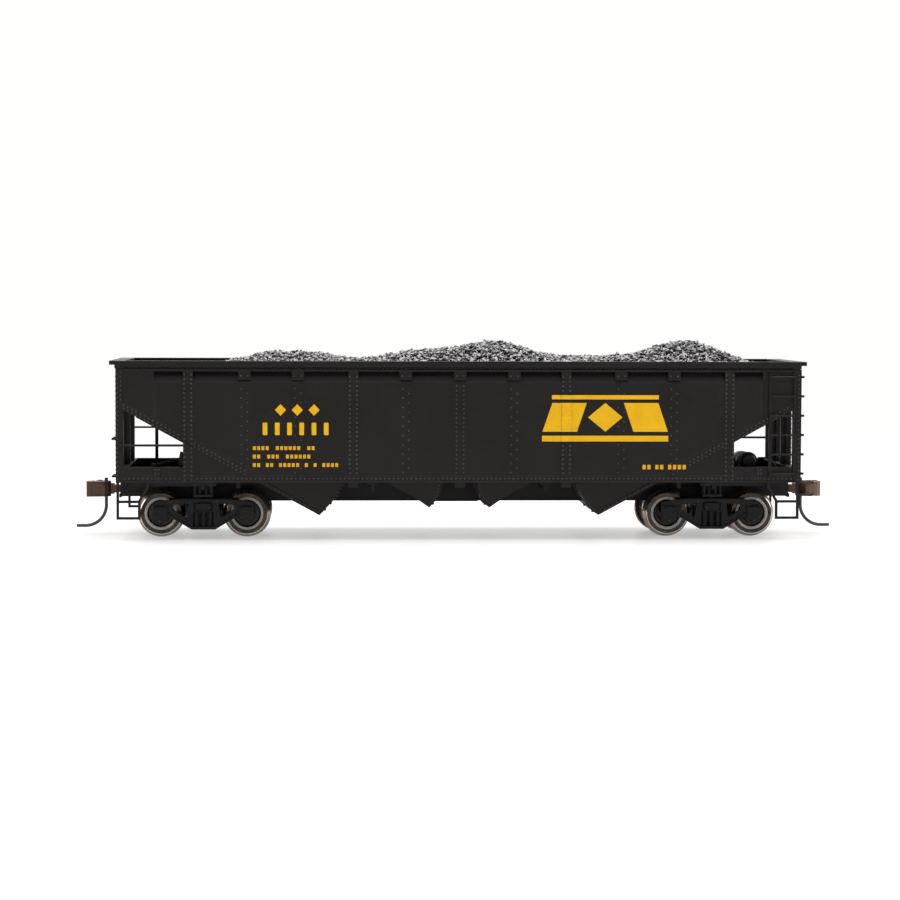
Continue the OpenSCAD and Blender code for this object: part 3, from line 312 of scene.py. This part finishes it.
# edge= gives the colour of each metal's painted edge highlight
COUPLER = plain_metal("coupler_brown", dark=(0.056, 0.029, 0.021), light=(0.100, 0.054, 0.039),
                      rough=(0.30, 0.46), metal=0.35, edge=(0.42, 0.29, 0.23))
KNUCKLE = plain_metal("knuckle_brown", dark=(0.115, 0.070, 0.052), light=(0.20, 0.130, 0.098),
                      rough=(0.26, 0.40), metal=0.45, edge=(0.60, 0.49, 0.41))
WIRE = plain_metal("trip_wire", dark=(0.045, 0.045, 0.045), light=(0.085, 0.085, 0.085),
                   rough=(0.3, 0.45), metal=0.7, edge=(0.3, 0.3, 0.3))
BRONZE = plain_metal("spring_bronze", dark=(0.42, 0.25, 0.11), light=(0.62, 0.40, 0.19),
                     rough=(0.25, 0.4))
SCREW = plain_metal("screw_plated", dark=(0.42, 0.41, 0.39), light=(0.62, 0.61, 0.58),
                    rough=(0.2, 0.38), scale=1500)
AXLE = plain_metal("axle_blackened", dark=(0.07, 0.066, 0.062), light=(0.14, 0.13, 0.12),
                   rough=(0.28, 0.42), edge=(0.3, 0.28, 0.26))
BALLAST = plain_metal("ballast_steel", dark=(0.25, 0.25, 0.25), light=(0.4, 0.4, 0.4),
                      rough=(0.35, 0.55))
BUSH = moulded("bush_black", dark=(0.012, 0.012, 0.012), light=(0.02, 0.02, 0.02),
               radius=0.00006)
YELLOW = paint("print_yellow", dark=(0.80, 0.435, 0.002), light=(0.90, 0.505, 0.006))
ORANGE = paint("print_small", dark=(0.70, 0.36, 0.006), light=(0.82, 0.43, 0.010))
COAL = glossy_coal("coal_gloss")
LOAD_TRAY = moulded("load_tray_black", dark=(0.0085, 0.0082, 0.0085),
                    light=(0.0140, 0.0136, 0.0140), rough=(0.46, 0.62), grain=0.6)

WHEELS = {}
for number in range(1, 5):
    lo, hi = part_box(f"axle_{number}")
    centre = (lo + hi) / 2
    WHEELS[number] = wheel_metal(f"wheel_metal_{number}", centre.x, centre.z)

# CAD pieces by whole name and by the start of the name; the rest are fittings
BY_NAME = {
    "knuckle_a": KNUCKLE, "knuckle_b": KNUCKLE, "draft_box_screws": SCREW,
    "kingpin_screws": SCREW, "ballast_bar": BALLAST, "body_shell": BODY,
    "underframe": UNDER, "hopper_pockets": BODY,
}
BY_PREFIX = {
    "axle_": AXLE, "insulating_bush": BUSH, "truck_frame": TRUCK, "coupler_": COUPLER,
    "trip_pin": WIRE, "knuckle_pin": WIRE, "centering_spring": BRONZE,
    "draft_box_lid": UNDER, "hopper_door": BODY,
}


def material_for(name):
    if name.startswith("wheel_"):
        return WHEELS[int(name.split("_")[1])]
    if name in BY_NAME:
        return BY_NAME[name]
    for prefix, material in BY_PREFIX.items():
        if name.startswith(prefix):
            return material
    return FITTING


for name in NODES:
    if name != "coal_load":            # replaced by its own mesh below
        for slot in NODES[name].material_slots:
            slot.link = "OBJECT"
            slot.material = material_for(name)


# ------------------------------------------------------------------ mesh helpers
class Shells:
    """Collects closed shells into one mesh piece. Points are in millimetres."""

    def __init__(self):
        self.verts, self.faces, self.materials, self.smooth = [], [], [], []

    def add(self, verts, faces, material=0, smooth=False):
        base = len(self.verts)
        self.verts.extend(verts)
        for face in faces:
            self.faces.append(tuple(base + k for k in face))
            self.materials.append(material)
            self.smooth.append(smooth)

    def piece(self, name, body, materials):
        mesh = bpy.data.meshes.new(name)
        mesh.from_pydata([tuple(c * MM for c in p) for p in self.verts], [], self.faces)
        for material in materials:
            mesh.materials.append(material)
        mesh.polygons.foreach_set("material_index", self.materials)
        mesh.polygons.foreach_set("use_smooth", self.smooth)
        mesh.update()
        ob = bpy.data.objects.new(name, mesh)
        bpy.context.scene.collection.objects.link(ob)
        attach(ob, body)
        return ob


# Rivet heads: diameter, height
HEAD_50 = (0.50, 0.18)
HEAD_42 = (0.42, 0.15)
HEAD_40 = (0.40, 0.14)
HEAD_38 = (0.38, 0.13)
HEAD_36 = (0.36, 0.13)
HEAD_36_LOW = (0.36, 0.12)
HEAD_34 = (0.34, 0.12)
HEAD_32 = (0.32, 0.11)
BOLT_HEIGHT = 0.15
HEAD_SEGMENTS = 8


def rivet(shells, foot, outward, size, material=0):
    """A domed head with its foot sunk a little into the sheet."""
    outward = Vector(outward).normalized()
    helper = Vector((0, 0, 1)) if abs(outward.z) < 0.9 else Vector((1, 0, 0))
    u = outward.cross(helper).normalized()
    w = outward.cross(u).normalized()
    foot = Vector(foot)
    radius, height = size[0] / 2, size[1]
    # radius, height above the sheet
    profile = [(radius, -0.06), (radius, 0.03),
               (radius * 0.86, height * 0.62), (radius * 0.48, height * 0.95)]
    count = HEAD_SEGMENTS
    verts = []
    for r, h in profile:
        for k in range(count):
            a = 2 * math.pi * (k + 0.5) / count
            verts.append(foot + u * (r * math.cos(a)) + w * (r * math.sin(a)) + outward * h)
    verts.append(foot + outward * height)
    faces = []
    for j in range(len(profile) - 1):
        for k in range(count):
            k2 = (k + 1) % count
            faces.append((j * count + k, j * count + k2,
                          (j + 1) * count + k2, (j + 1) * count + k))
    top = len(profile) * count
    last = top - count
    faces += [(last + k, last + (k + 1) % count, top) for k in range(count)]
    faces.append(tuple(range(count - 1, -1, -1)))
    # the winding depends on the direction, so one face is tested
    p, q, r = (verts[k] for k in faces[0][:3])
    if (q - p).cross(r - p).dot((p + q) / 2 - foot) < 0:
        faces = [tuple(reversed(face)) for face in faces]
    shells.add([tuple(v) for v in verts], faces, material, True)


def rivet_on_surface(shells, target, start, outward, reach, facing, size):
    """A rivet where a ray from start (metres) meets a face of target that lies square to it."""
    inverse = target.matrix_world.inverted()
    inward = (inverse.to_3x3() @ -outward).normalized()
    hit, at, normal, _ = target.ray_cast(inverse @ start, inward, distance=reach)
    if hit and abs(normal.normalized().dot(outward)) > facing:
        rivet(shells, (target.matrix_world @ at) / MM, outward, size)


# ------------------------------------------------------------------ side markings
# Marks are polygons of (s, z); s runs left to right as that side is looked at.
LARGE, SMALL = 0, 1                    # print colours
FILM = 0.022                           # thickness of the print
SUNK = 0.05                            # depth of the print's back in the sheet
STRIP_PROUD = 0.16                     # main post strips stand out from the sheet
STRIP_HALF = 1.1
STRIPS = [(x - STRIP_HALF, x + STRIP_HALF)
          for x in (-OUTER_POST, -INNER_POST, INNER_POST, OUTER_POST)]


def block(x0, x1, z0, z1):
    return [(x0, z0), (x1, z0), (x1, z1), (x0, z1)]


def rounded_block(x0, x1, z0, z1, r):
    corners = ((x1 - r, z0 + r, -90), (x1 - r, z1 - r, 0),
               (x0 + r, z1 - r, 90), (x0 + r, z0 + r, 180))
    points = []
    for cx, cz, start in corners:
        for k in range(4):
            a = math.radians(start + 30 * k)
            points.append((cx + r * math.cos(a), cz + r * math.sin(a)))
    return points


def badge():
    """Winged lozenge between two bars."""
    middle, half = 27.75, 3.25
    low, high = middle - half, middle + half
    return [
        [(18.6, low), (26.4, low), (28.6, high), (20.8, high)],
        [(32.8, low), (36.7, middle), (32.8, high), (28.9, middle)],
        [(39.2, low), (47.0, low), (44.8, high), (37.0, high)],
        block(18.5, 47.1, 22.3, 23.6),
        block(20.7, 44.9, 31.8, 32.75),
    ]


def small_lozenges():
    width, z0, z1 = 1.25, 28.05, 30.65
    middle = (z0 + z1) / 2
    return [[(x, z0), (x + width, middle), (x, z1), (x - width, middle)]
            for x in (-40.3 + 3.75 * k for k in range(3))]


def upright_bars():
    return [rounded_block(x, x + 1.05, 23.7, 26.5, r=0.2)
            for x in (-44.3 + 2.74 * k for k in range(6))]


def dashes(x, z, counts, width=0.66, height=0.86, gap=0.3, space=1.3):
    """A row of small dashes in groups; counts holds the dashes in each group."""
    row = []
    for count in counts:
        for _ in range(count):
            row.append(block(x, x + width, z, z + height))
            x += width + gap
        x += space
    return row


MARKS = [(poly, LARGE) for poly in badge() + small_lozenges() + upright_bars()]
MARKS += [(poly, SMALL) for poly in (
    dashes(-46.5, 20.35, (4, 6, 2))
    + dashes(-46.5, 18.45, (2, 3, 6))
    + dashes(-46.5, 16.55, (2, 2, 5, 1, 1, 4), space=1.0)
    + dashes(41.3, 16.0, (2, 2, 4), width=0.74, height=1.02, gap=0.36, space=0.7)
)]


def clip(poly, limit, keep_less):
    """The part of the polygon on one side of an upright line."""
    kept = []
    for k in range(len(poly)):
        a, b = poly[k], poly[(k + 1) % len(poly)]
        a_in = (a[0] <= limit) == keep_less
        b_in = (b[0] <= limit) == keep_less
        if a_in:
            kept.append(a)
        if a_in != b_in:
            t = (limit - a[0]) / (b[0] - a[0])
            kept.append((a[0] + t * (b[0] - a[0]), a[1] + t * (b[1] - a[1])))
    return kept


def between(poly, x0, x1):
    return clip(clip(poly, x0, False), x1, True)


def inside(poly, x, z):
    odd = False
    for k in range(len(poly)):
        (x0, z0), (x1, z1) = poly[k], poly[(k + 1) % len(poly)]
        if (z0 > z) != (z1 > z) and x < (x1 - x0) * (z - z0) / (z1 - z0) + x0:
            odd = not odd
    return odd


def mark_at(x, z):
    """Print colour at a point of the side, or None."""
    for poly, colour in MARKS:
        if inside(poly, x, z):
            return colour
    return None


def side_point(side, s, z, y):
    """y is how far out from the centre line."""
    return (-side * s, side * y, z)


def slab(shells, side, poly, height, material):
    """A closed prism of the polygon, rising to a height above the side sheet."""
    n = len(poly)
    if n < 3:
        return
    verts = [side_point(side, s, z, y)
             for y in (SIDE_Y - SUNK, SIDE_Y + height) for s, z in poly]
    faces = [tuple(range(n - 1, -1, -1)), tuple(range(n, 2 * n))]
    for k in range(n):
        k2 = (k + 1) % n
        faces.append((k, k2, n + k2, n + k))
    # make the outer face look outwards
    area = Vector((0, 0, 0))
    for k in range(n):
        area += Vector(verts[n + k]).cross(Vector(verts[n + (k + 1) % n]))
    if area.y * side < 0:
        faces = [tuple(reversed(face)) for face in faces]
    shells.add(verts, faces, material)


def markings(side_name, side):
    shells = Shells()
    for poly, colour in MARKS:
        # the last small row runs out over the strip of the slope sheet
        over = 0.1 if poly[0][0] > 46 and poly[0][1] < 18 else 0.0
        rest = poly
        # where a mark crosses a post strip, that part is raised onto the strip
        for x0, x1 in [strip for strip in STRIPS if len(between(poly, *strip)) >= 3]:
            slab(shells, side, clip(rest, x0, True), FILM, colour)
            slab(shells, side, between(rest, x0, x1), STRIP_PROUD + FILM, colour)
            rest = clip(rest, x1, False)
        slab(shells, side, rest, over + FILM, colour)
    shells.piece(f"markings_{side_name}", "car_body", [YELLOW, ORANGE])


# ------------------------------------------------------------------ rivets on the sides
def post_rivets(place):
    """Full double rows on the four main posts."""
    for x in (-OUTER_POST, -INNER_POST, INNER_POST, OUTER_POST):
        start = SILL_Z + (0.55 if abs(x) == OUTER_POST else 2.15)
        for z in steps(start, RIM_Z - 2.6, 1.03):
            foot = SIDE_Y + STRIP_PROUD - (0.02 if z > RIM_Z - 4.4 else 0)
            for dx in (-0.78, 0.78):
                place(x + dx, z, foot, HEAD_50)


def tab_rivets(place):
    """A double row under the middle tab, staggered rows under the others, then the tabs."""
    start, stop = SILL_Z + 2.2, RIM_Z - 5.2
    for z in steps(start, stop, 1.03):
        for dx in (-0.8, 0.8):
            place(dx, z, SIDE_Y, HEAD_42)
    for tab in TAB_X:
        for sx in (-1, 1):
            x = sx * tab
            for k, z in enumerate(steps(start, stop, 1.05)):
                if not (tab > 46 and z < slope_z(tab) + 1.9):
                    place(x + (0.65 if k % 2 else -0.65), z, SIDE_Y, HEAD_40)
    for x in (*(-tab for tab in reversed(TAB_X)), 0, *TAB_X):
        for dx in (-0.8, 0.8):
            place(x + dx, RIM_Z - 3.3, SIDE_Y + 0.1, HEAD_42)


def long_rows(place):
    """Side sill, and web of the chord."""
    for x in steps(-58.9, 59.2, 1.0):
        place(x, SILL_Z + 0.92, SIDE_Y + 0.22, HEAD_42)
    for x in steps(-END_X + 0.9, END_X - 0.6, 1.0):
        place(x, RIM_Z - 1.6, SIDE_Y - 0.4, HEAD_34)


def slope_edge_rivets(place, sx):
    """Edge of the slope sheet, and the strip that carries it on across the side."""
    for along in steps(0.45, math.inf, 1.06):
        x = END_X - 1.4 - along * math.cos(SLOPE_ANGLE)
        if x < OUTER_POST - 13.6:
            break
        on_post = OUTER_POST - 1.3 < x < OUTER_POST + 1.3
        for rise in (0.32, 1.12):
            z = slope_z(x) + rise
            if z > SILL_Z + 1.9 and not on_post:
                place(sx * x, z, SIDE_Y + 0.1, HEAD_40)


def corner_rivets(place, sx):
    """Corner angle, and the plate beside the open end."""
    edge_x = END_X - 1.12
    for z in steps(SILL_Z + 0.6, RIM_Z - 2.5, 1.03):
        place(sx * (END_X - 0.42), z, SIDE_Y + 0.14, HEAD_38)
        if z > slope_z(END_X - 1.1) + 0.7:
            place(sx * edge_x, z + 0.5, SIDE_Y + 0.14, HEAD_38)
    for k in range(13):
        place(sx * (OUTER_POST + 1.9 + 1.02 * k), SILL_Z + 0.9, SIDE_Y + 0.1, HEAD_38)
    for rise in (1.0, 2.0, 3.0):
        for inset in (9.55, 8.85):
            place(sx * (END_X - inset), SILL_Z + rise, SIDE_Y + 0.28, HEAD_38)


def side_rivets(side_name, side):
    shells = Shells()

    def place(s, z, y, size):
        """A rivet in the colour of the print under it; none on the border of a mark."""
        colour = mark_at(s, z)
        reach = size[0] * 0.62
        for k in range(8):
            a = k * math.pi / 4
            if mark_at(s + reach * math.cos(a), z + reach * math.sin(a)) != colour:
                return
        material = 0 if colour is None else 1 + colour
        rivet(shells, side_point(side, s, z, y), (0, side, 0), size, material)

    post_rivets(place)
    tab_rivets(place)
    long_rows(place)
    for sx in (-1, 1):
        slope_edge_rivets(place, sx)
    for sx in (-1, 1):
        corner_rivets(place, sx)
    shells.piece(f"rivets_{side_name}", "car_body", [RIVET_HIGHLIGHTED, YELLOW, ORANGE])


# ------------------------------------------------------------------ other rivets and bolts
END_POST_Y = 6.5


def end_rivets(end_name, sx):
    shells = Shells()

    def place(x, y, z, size):
        rivet(shells, (sx * x, y, z), (sx, 0, 0), size)

    # inner end posts and the corners
    for y in (-END_POST_Y, END_POST_Y):
        for z in steps(SILL_Z + 0.7, RIM_Z - 2.9, 1.1):
            for dy in (-0.42, 0.42):
                place(END_X, y + dy, z, HEAD_36)
    for y in (-SIDE_Y + 0.45, SIDE_Y - 0.45):
        for z in steps(SILL_Z + 0.7, RIM_Z - 3, 1.1):
            place(END_X, y, z, HEAD_36)
    # end sill, the angle at the foot of the end sheet and the top chord
    for y in steps(-16.4, 16.6, 1.1):
        if abs(abs(y) - END_POST_Y) > 0.9:
            place(END_X, y, SILL_Z + 0.7, HEAD_36)
            place(END_X, y, SILL_Z + 2.9, HEAD_36)
            place(END_X - 0.1, y, 30.05, HEAD_36)
            place(END_X - 0.3, y, 34.6, HEAD_34)
        place(END_X, y, RIM_Z - 2.15, HEAD_34)
    shells.piece(f"end_rivets_{end_name}", "car_body", [RIVET_HIGHLIGHTED])


def slope_rivets():
    """Rows on the slope sheets over the open ends; each foot is found on the sheet itself."""
    shells = Shells()
    for sx in (-1, 1):
        outward = Vector((sx * math.sin(SLOPE_ANGLE), 0, -math.cos(SLOPE_ANGLE)))
        for y in (-14.6, -9.8, -3.2, 3.2, 9.8, 14.6):
            for x in steps(57.6, 74.8, 1.0):
                start = Vector((sx * x, y, slope_z(x))) * MM + outward * 0.003
                rivet_on_surface(shells, NODES["body_shell"], start, outward,
                                 reach=0.0045, facing=0.97, size=HEAD_40)
    shells.piece("slope_rivets", "car_body", [RIVET_HIGHLIGHTED])


TRUCK_X = 57.8
AXLE_OFFSET = 9.75                     # from the middle of the truck
# x from the journal, z, diameter
JOURNAL_BOLTS = [(-1.15, 7.35, 0.36), (1.15, 7.35, 0.36), (0.0, 4.1, 0.46),
                 (-1.1, 4.9, 0.3), (1.1, 4.9, 0.3)]
# distance either way from the middle of the truck, z, diameter
PAIRED_BOLTS = [(1.25, 8.3, 0.34), (1.25, 7.1, 0.34), (3.0, 8.35, 0.42),
                (2.9, 2.6, 0.42), (5.9, 8.3, 0.36), (5.2, 4.55, 0.34)]


def truck_bolts(end_name, sx):
    """Bolts on the truck sides: journal box lids, columns and bolster ends."""
    shells = Shells()
    bolts = [(journal + dx, z, diameter) for journal in (-AXLE_OFFSET, AXLE_OFFSET)
             for dx, z, diameter in JOURNAL_BOLTS]
    bolts += [(way * dx, z, diameter) for dx, z, diameter in PAIRED_BOLTS for way in (-1, 1)]
    for sy in (-1, 1):
        for dx, z, diameter in bolts:
            start = Vector((sx * TRUCK_X + dx, sy * 18.0, z)) * MM
            rivet_on_surface(shells, NODES[f"truck_frame_{end_name}"], start,
                             Vector((0, sy, 0)), reach=0.008, facing=0.95,
                             size=(diameter, BOLT_HEIGHT))
    shells.piece(f"truck_bolts_{end_name}", f"truck_{end_name}", [RIVET_HIGHLIGHTED])


def pocket_rivets():
    """Rows along the slope sheet foot and round the pocket side sheets."""
    shells = Shells()
    for sx in (-1, 1):
        for sy in (-1, 1):
            def place(x, z, size, y=16.0):
                rivet(shells, (sx * x, sy * y, z), (0, sy, 0), size)

            for x in steps(33.0, 45, 0.95):
                place(x, slope_z(x) + 0.55, HEAD_36_LOW, y=16.16)
            for k in range(5):
                t = (k + 0.5) / 5
                place(31.1 - 3.2 * t, 6.4 + 3.3 * t, HEAD_34)
                place(7.0 - 1.7 * t, 8.0 + 1.8 * t, HEAD_32)
            for k in range(4):
                place(27.55 - 0.34 * k, 9.9 + 0.8 * k, HEAD_34)
                place(5.05 - 0.16 * k, 10.1 + 0.7 * k, HEAD_32)
    shells.piece("pocket_rivets", "car_body", [RIVET_HIGHLIGHTED])


# ------------------------------------------------------------------ coal load
LOAD_X, LOAD_Y = 74.2, 15.3            # half length and half width
TRAY_Z = RIM_Z - 4.05                  # underside of the tray
BED_COLUMNS, BED_ROWS = 300, 62
LUMP_PITCH = 1.15
LUMP_RADII = (0.46, 0.55, 0.65, 0.76, 0.88)
LUMPS, TRAY = 0, 1                     # material indices
# heaps along the load: x, height, half width
HEAPS = [(-45, 1.6, 4.6), (-34.5, 2.5, 6.5), (-8, 2.8, 8.5),
         (9.0, 4.5, 6.9), (30, 1.6, 11), (53.5, 5.2, 7.9)]
# corners and faces of an icosahedron
GOLDEN = (1 + 5 ** 0.5) / 2
ICO_CORNERS = [
    (-1, GOLDEN, 0), (1, GOLDEN, 0), (-1, -GOLDEN, 0), (1, -GOLDEN, 0),
    (0, -1, GOLDEN), (0, 1, GOLDEN), (0, -1, -GOLDEN), (0, 1, -GOLDEN),
    (GOLDEN, 0, -1), (GOLDEN, 0, 1), (-GOLDEN, 0, -1), (-GOLDEN, 0, 1),
]
ICO_FACES = [
    (0, 11, 5), (0, 5, 1), (0, 1, 7), (0, 7, 10), (0, 10, 11),
    (1, 5, 9), (5, 11, 4), (11, 10, 2), (10, 7, 6), (7, 1, 8),
    (3, 9, 4), (3, 4, 2), (3, 2, 6), (3, 6, 8), (3, 8, 9),
    (4, 9, 5), (2, 4, 11), (6, 2, 10), (8, 6, 7), (9, 8, 1),
]

rnd = random.Random(4)


def coal_z(x, y):
    """Smooth height of the load, heaped along the middle."""
    crest = sum(height * math.exp(-(x - at) ** 2 / (2 * width * width))
                for at, height, width in HEAPS)
    across = max(0.0, math.cos(math.radians(y / 16.4 * 90))) ** 0.8
    return RIM_Z - 1.7 + (crest + 0.9 * (1 - (abs(x) / 76) ** 6)) * across


def coal_bed(shells):
    """Bed of the load: a closed tray with a rough top."""
    nx, ny = BED_COLUMNS, BED_ROWS
    verts = []
    for i in range(nx + 1):
        for j in range(ny + 1):
            x = -LOAD_X + 2 * LOAD_X * i / nx
            y = -LOAD_Y + 2 * LOAD_Y * j / ny
            verts.append((x, y, coal_z(x, y) - 0.42 + rnd.uniform(-0.16, 0.16)))

    def index(i, j):
        return i * (ny + 1) + j

    faces = [(index(i, j), index(i + 1, j), index(i + 1, j + 1), index(i, j + 1))
             for i in range(nx) for j in range(ny)]
    top_faces = len(faces)
    rim = [index(i, 0) for i in range(nx + 1)]
    rim += [index(nx, j) for j in range(1, ny + 1)]
    rim += [index(i, ny) for i in range(nx - 1, -1, -1)]
    rim += [index(0, j) for j in range(ny - 1, 0, -1)]
    foot = [len(verts) + k for k in range(len(rim))]
    verts += [(verts[k][0], verts[k][1], TRAY_Z) for k in rim]
    for k in range(len(rim)):
        k2 = (k + 1) % len(rim)
        faces.append((rim[k2], rim[k], foot[k], foot[k2]))
    faces.append(tuple(reversed(foot)))
    shells.add(verts, faces, LUMPS)
    shells.materials[top_faces:] = [TRAY] * (len(faces) - top_faces)


def tray_ribs(shells):
    """Shallow stiffening ribs under the tray."""
    faces = [(3, 2, 1, 0), (4, 5, 6, 7), (0, 1, 5, 4), (1, 2, 6, 5), (2, 3, 7, 6), (3, 0, 4, 7)]
    for k in range(13):
        x = -66.0 + 11.0 * k
        verts = block(x - 0.5, x + 0.5, -12.6, 12.6) + block(x - 0.6, x + 0.6, -12.8, 12.8)
        heights = [TRAY_Z - 0.28] * 4 + [TRAY_Z + 0.12] * 4
        shells.add([(*point, z) for point, z in zip(verts, heights)], faces, TRAY)


def coal_lump(shells, x, y, radius):
    """Angular lump: an icosahedron with its corners pulled about."""
    centre = Vector((x, y, coal_z(x, y) - 0.30 + rnd.uniform(-0.18, 0.16)))
    turn = (Matrix.Rotation(rnd.uniform(0, 6.28), 3, "Z")
            @ Matrix.Rotation(rnd.uniform(-1.2, 1.2), 3, "X")
            @ Matrix.Rotation(rnd.uniform(-1.2, 1.2), 3, "Y"))
    squash = (rnd.uniform(0.8, 1.25), rnd.uniform(0.6, 1.0), rnd.uniform(0.5, 0.9))
    verts = []
    for corner in ICO_CORNERS:
        v = Vector(corner).normalized() * radius * (1 + rnd.uniform(-0.17, 0.17))
        v = Vector((v.x * squash[0], v.y * squash[1], v.z * squash[2]))
        verts.append(tuple(turn @ v + centre))
    shells.add(verts, ICO_FACES, LUMPS)


def scatter_lumps(shells):
    columns = int(2 * LOAD_X / LUMP_PITCH)
    rows = int(2 * LOAD_Y / LUMP_PITCH)
    for i in range(columns):
        for j in range(rows):
            x = -LOAD_X + (i + 0.5 + rnd.uniform(-0.42, 0.42)) * 2 * LOAD_X / columns
            y = -LOAD_Y + (j + 0.5 + rnd.uniform(-0.42, 0.42)) * 2 * LOAD_Y / rows
            radius = rnd.choice(LUMP_RADII)
            x = max(-LOAD_X + radius, min(LOAD_X - radius, x))
            y = max(-LOAD_Y + radius, min(LOAD_Y - radius, y))
            coal_lump(shells, x, y, radius)


def coal_load():
    shells = Shells()
    coal_bed(shells)
    tray_ribs(shells)
    scatter_lumps(shells)
    coal = shells.piece("coal_lumps", "load", [COAL, LOAD_TRAY])
    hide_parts("coal_load")


# ------------------------------------------------------------------ stage, light and camera
STUDIO_WHITE = (1.0, 0.997, 0.992)
AIM = (0, 0, 0.02)                     # point the lights look at


def floor_white():
    """White floor that fades into plain light away from the car; even under the car it is part
    glow, a painted light that lightens the car's cast shadow.
    """
    m = Material("floor_white")
    cloud = m.noise(scale=6.0, detail=3.0, rough=0.5)
    m.finish(base=m.mix(cloud, (0.845, 0.828, 0.808), (0.875, 0.860, 0.842)),
             rough=m.remap(cloud, to=(0.30, 0.36), over=(0.0, 1.0)), spec=0.30)
    distance = m.node("ShaderNodeVectorMath", {0: m.position}, operation="LENGTH")
    # painted light: the glow never drops below 0.42, so the shadow under the car is lightened
    far = m.remap(distance.outputs["Value"], to=(0.42, 1.0), over=(0.16, 0.50),
                  kind="SMOOTHSTEP")
    glow = m.node("ShaderNodeEmission", {"Color": STUDIO_WHITE}).outputs[0]
    lit = m.node("ShaderNodeMixShader", {0: far, 1: m.principled.outputs[0], 2: glow})
    # one-sided, so the underside of the car can be looked at from below
    backfacing = m.node("ShaderNodeNewGeometry").outputs["Backfacing"]
    clear = m.node("ShaderNodeBsdfTransparent").outputs[0]
    sided = m.node("ShaderNodeMixShader", {0: backfacing, 1: lit.outputs[0], 2: clear})
    m.feed(m.output, sided.outputs[0])
    return m.material


def stage_floor():
    half = 3.0
    mesh = bpy.data.meshes.new("floor")
    corners = [(x, y, 0) for x, y in block(-half, half, -half, half)]
    mesh.from_pydata(corners, [], [(0, 1, 2, 3)])
    ob = bpy.data.objects.new("floor", mesh)
    bpy.context.scene.collection.objects.link(ob)
    mesh.materials.append(floor_white())


def studio_world():
    """Dim towards -Y, brighter overhead, and plain white to the camera."""
    world = bpy.data.worlds.new("studio")
    bpy.context.scene.world = world
    world.use_nodes = True
    g = Graph(world.node_tree)
    direction = g.node("ShaderNodeTexCoord").outputs["Generated"]
    _, y, z = g.node("ShaderNodeSeparateXYZ", {0: direction}).outputs
    level = g.plus(g.remap(y, to=(0.05, 0.70), over=(-0.97, -0.55), kind="SMOOTHSTEP"),
                   g.remap(z, to=(0.0, 0.7), over=(0.55, 0.95), kind="SMOOTHSTEP"))
    seen = g.node("ShaderNodeLightPath").outputs["Is Camera Ray"]
    strength = g.node("ShaderNodeMix", {"Factor": seen, 2: level, 3: 1.0}, data_type="FLOAT")
    background = g.node("ShaderNodeBackground",
                        {"Color": STUDIO_WHITE, "Strength": strength.outputs[0]})
    g.node("ShaderNodeOutputWorld", {0: background.outputs[0]})


def area_light(name, location, size, power):
    light = bpy.data.lights.new(name, "AREA")
    light.shape = "RECTANGLE"
    light.size, light.size_y = size
    light.energy = power
    ob = bpy.data.objects.new(name, light)
    ob.location = location
    ob.rotation_mode = "QUATERNION"
    ob.rotation_quaternion = (Vector(AIM) - Vector(location)).to_track_quat("-Z", "Y")
    bpy.context.scene.collection.objects.link(ob)


def camera():
    data = bpy.data.cameras.new("camera")
    ob = bpy.data.objects.new("camera", data)
    bpy.context.scene.collection.objects.link(ob)
    ob.location = (-0.0311, -0.5976, 0.0524)
    ob.rotation_mode = "QUATERNION"
    # yaw turns from +Y towards +X, pitch is up from level
    yaw, pitch, roll = (math.radians(a) for a in (2.85, -3.16, 0.17))
    ahead = Vector((math.sin(yaw) * math.cos(pitch), math.cos(yaw) * math.cos(pitch),
                    math.sin(pitch)))
    level = Vector((math.cos(yaw), -math.sin(yaw), 0))
    upright = level.cross(ahead)
    right = level * math.cos(roll) + upright * math.sin(roll)
    up = upright * math.cos(roll) - level * math.sin(roll)
    ob.rotation_quaternion = Matrix((right, up, -ahead)).transposed().to_quaternion()
    data.sensor_width = 36.0
    data.lens = 103.3
    data.clip_start = 0.01
    data.clip_end = 20
    bpy.context.scene.camera = ob


# ------------------------------------------------------------------ build
for side_name, side in SIDES:
    markings(side_name, side)
for side_name, side in SIDES:
    side_rivets(side_name, side)
for end_name, sx in ENDS:
    end_rivets(end_name, sx)
slope_rivets()
for end_name, sx in ENDS:
    truck_bolts(end_name, sx)
pocket_rivets()
coal_load()

stage_floor()
studio_world()
area_light("top_soft", location=(0.0, 0.05, 0.62), size=(0.8, 0.5), power=5.0)
area_light("left_soft", location=(-0.75, 0.05, 0.35), size=(0.5, 0.5), power=1.6)
area_light("right_soft", location=(0.8, 0.0, 0.40), size=(0.5, 0.5), power=1.8)
area_light("back_soft", location=(0.1, 0.8, 0.5), size=(0.9, 0.4), power=2.0)
camera()
bpy.context.scene.view_settings.view_transform = "Standard"
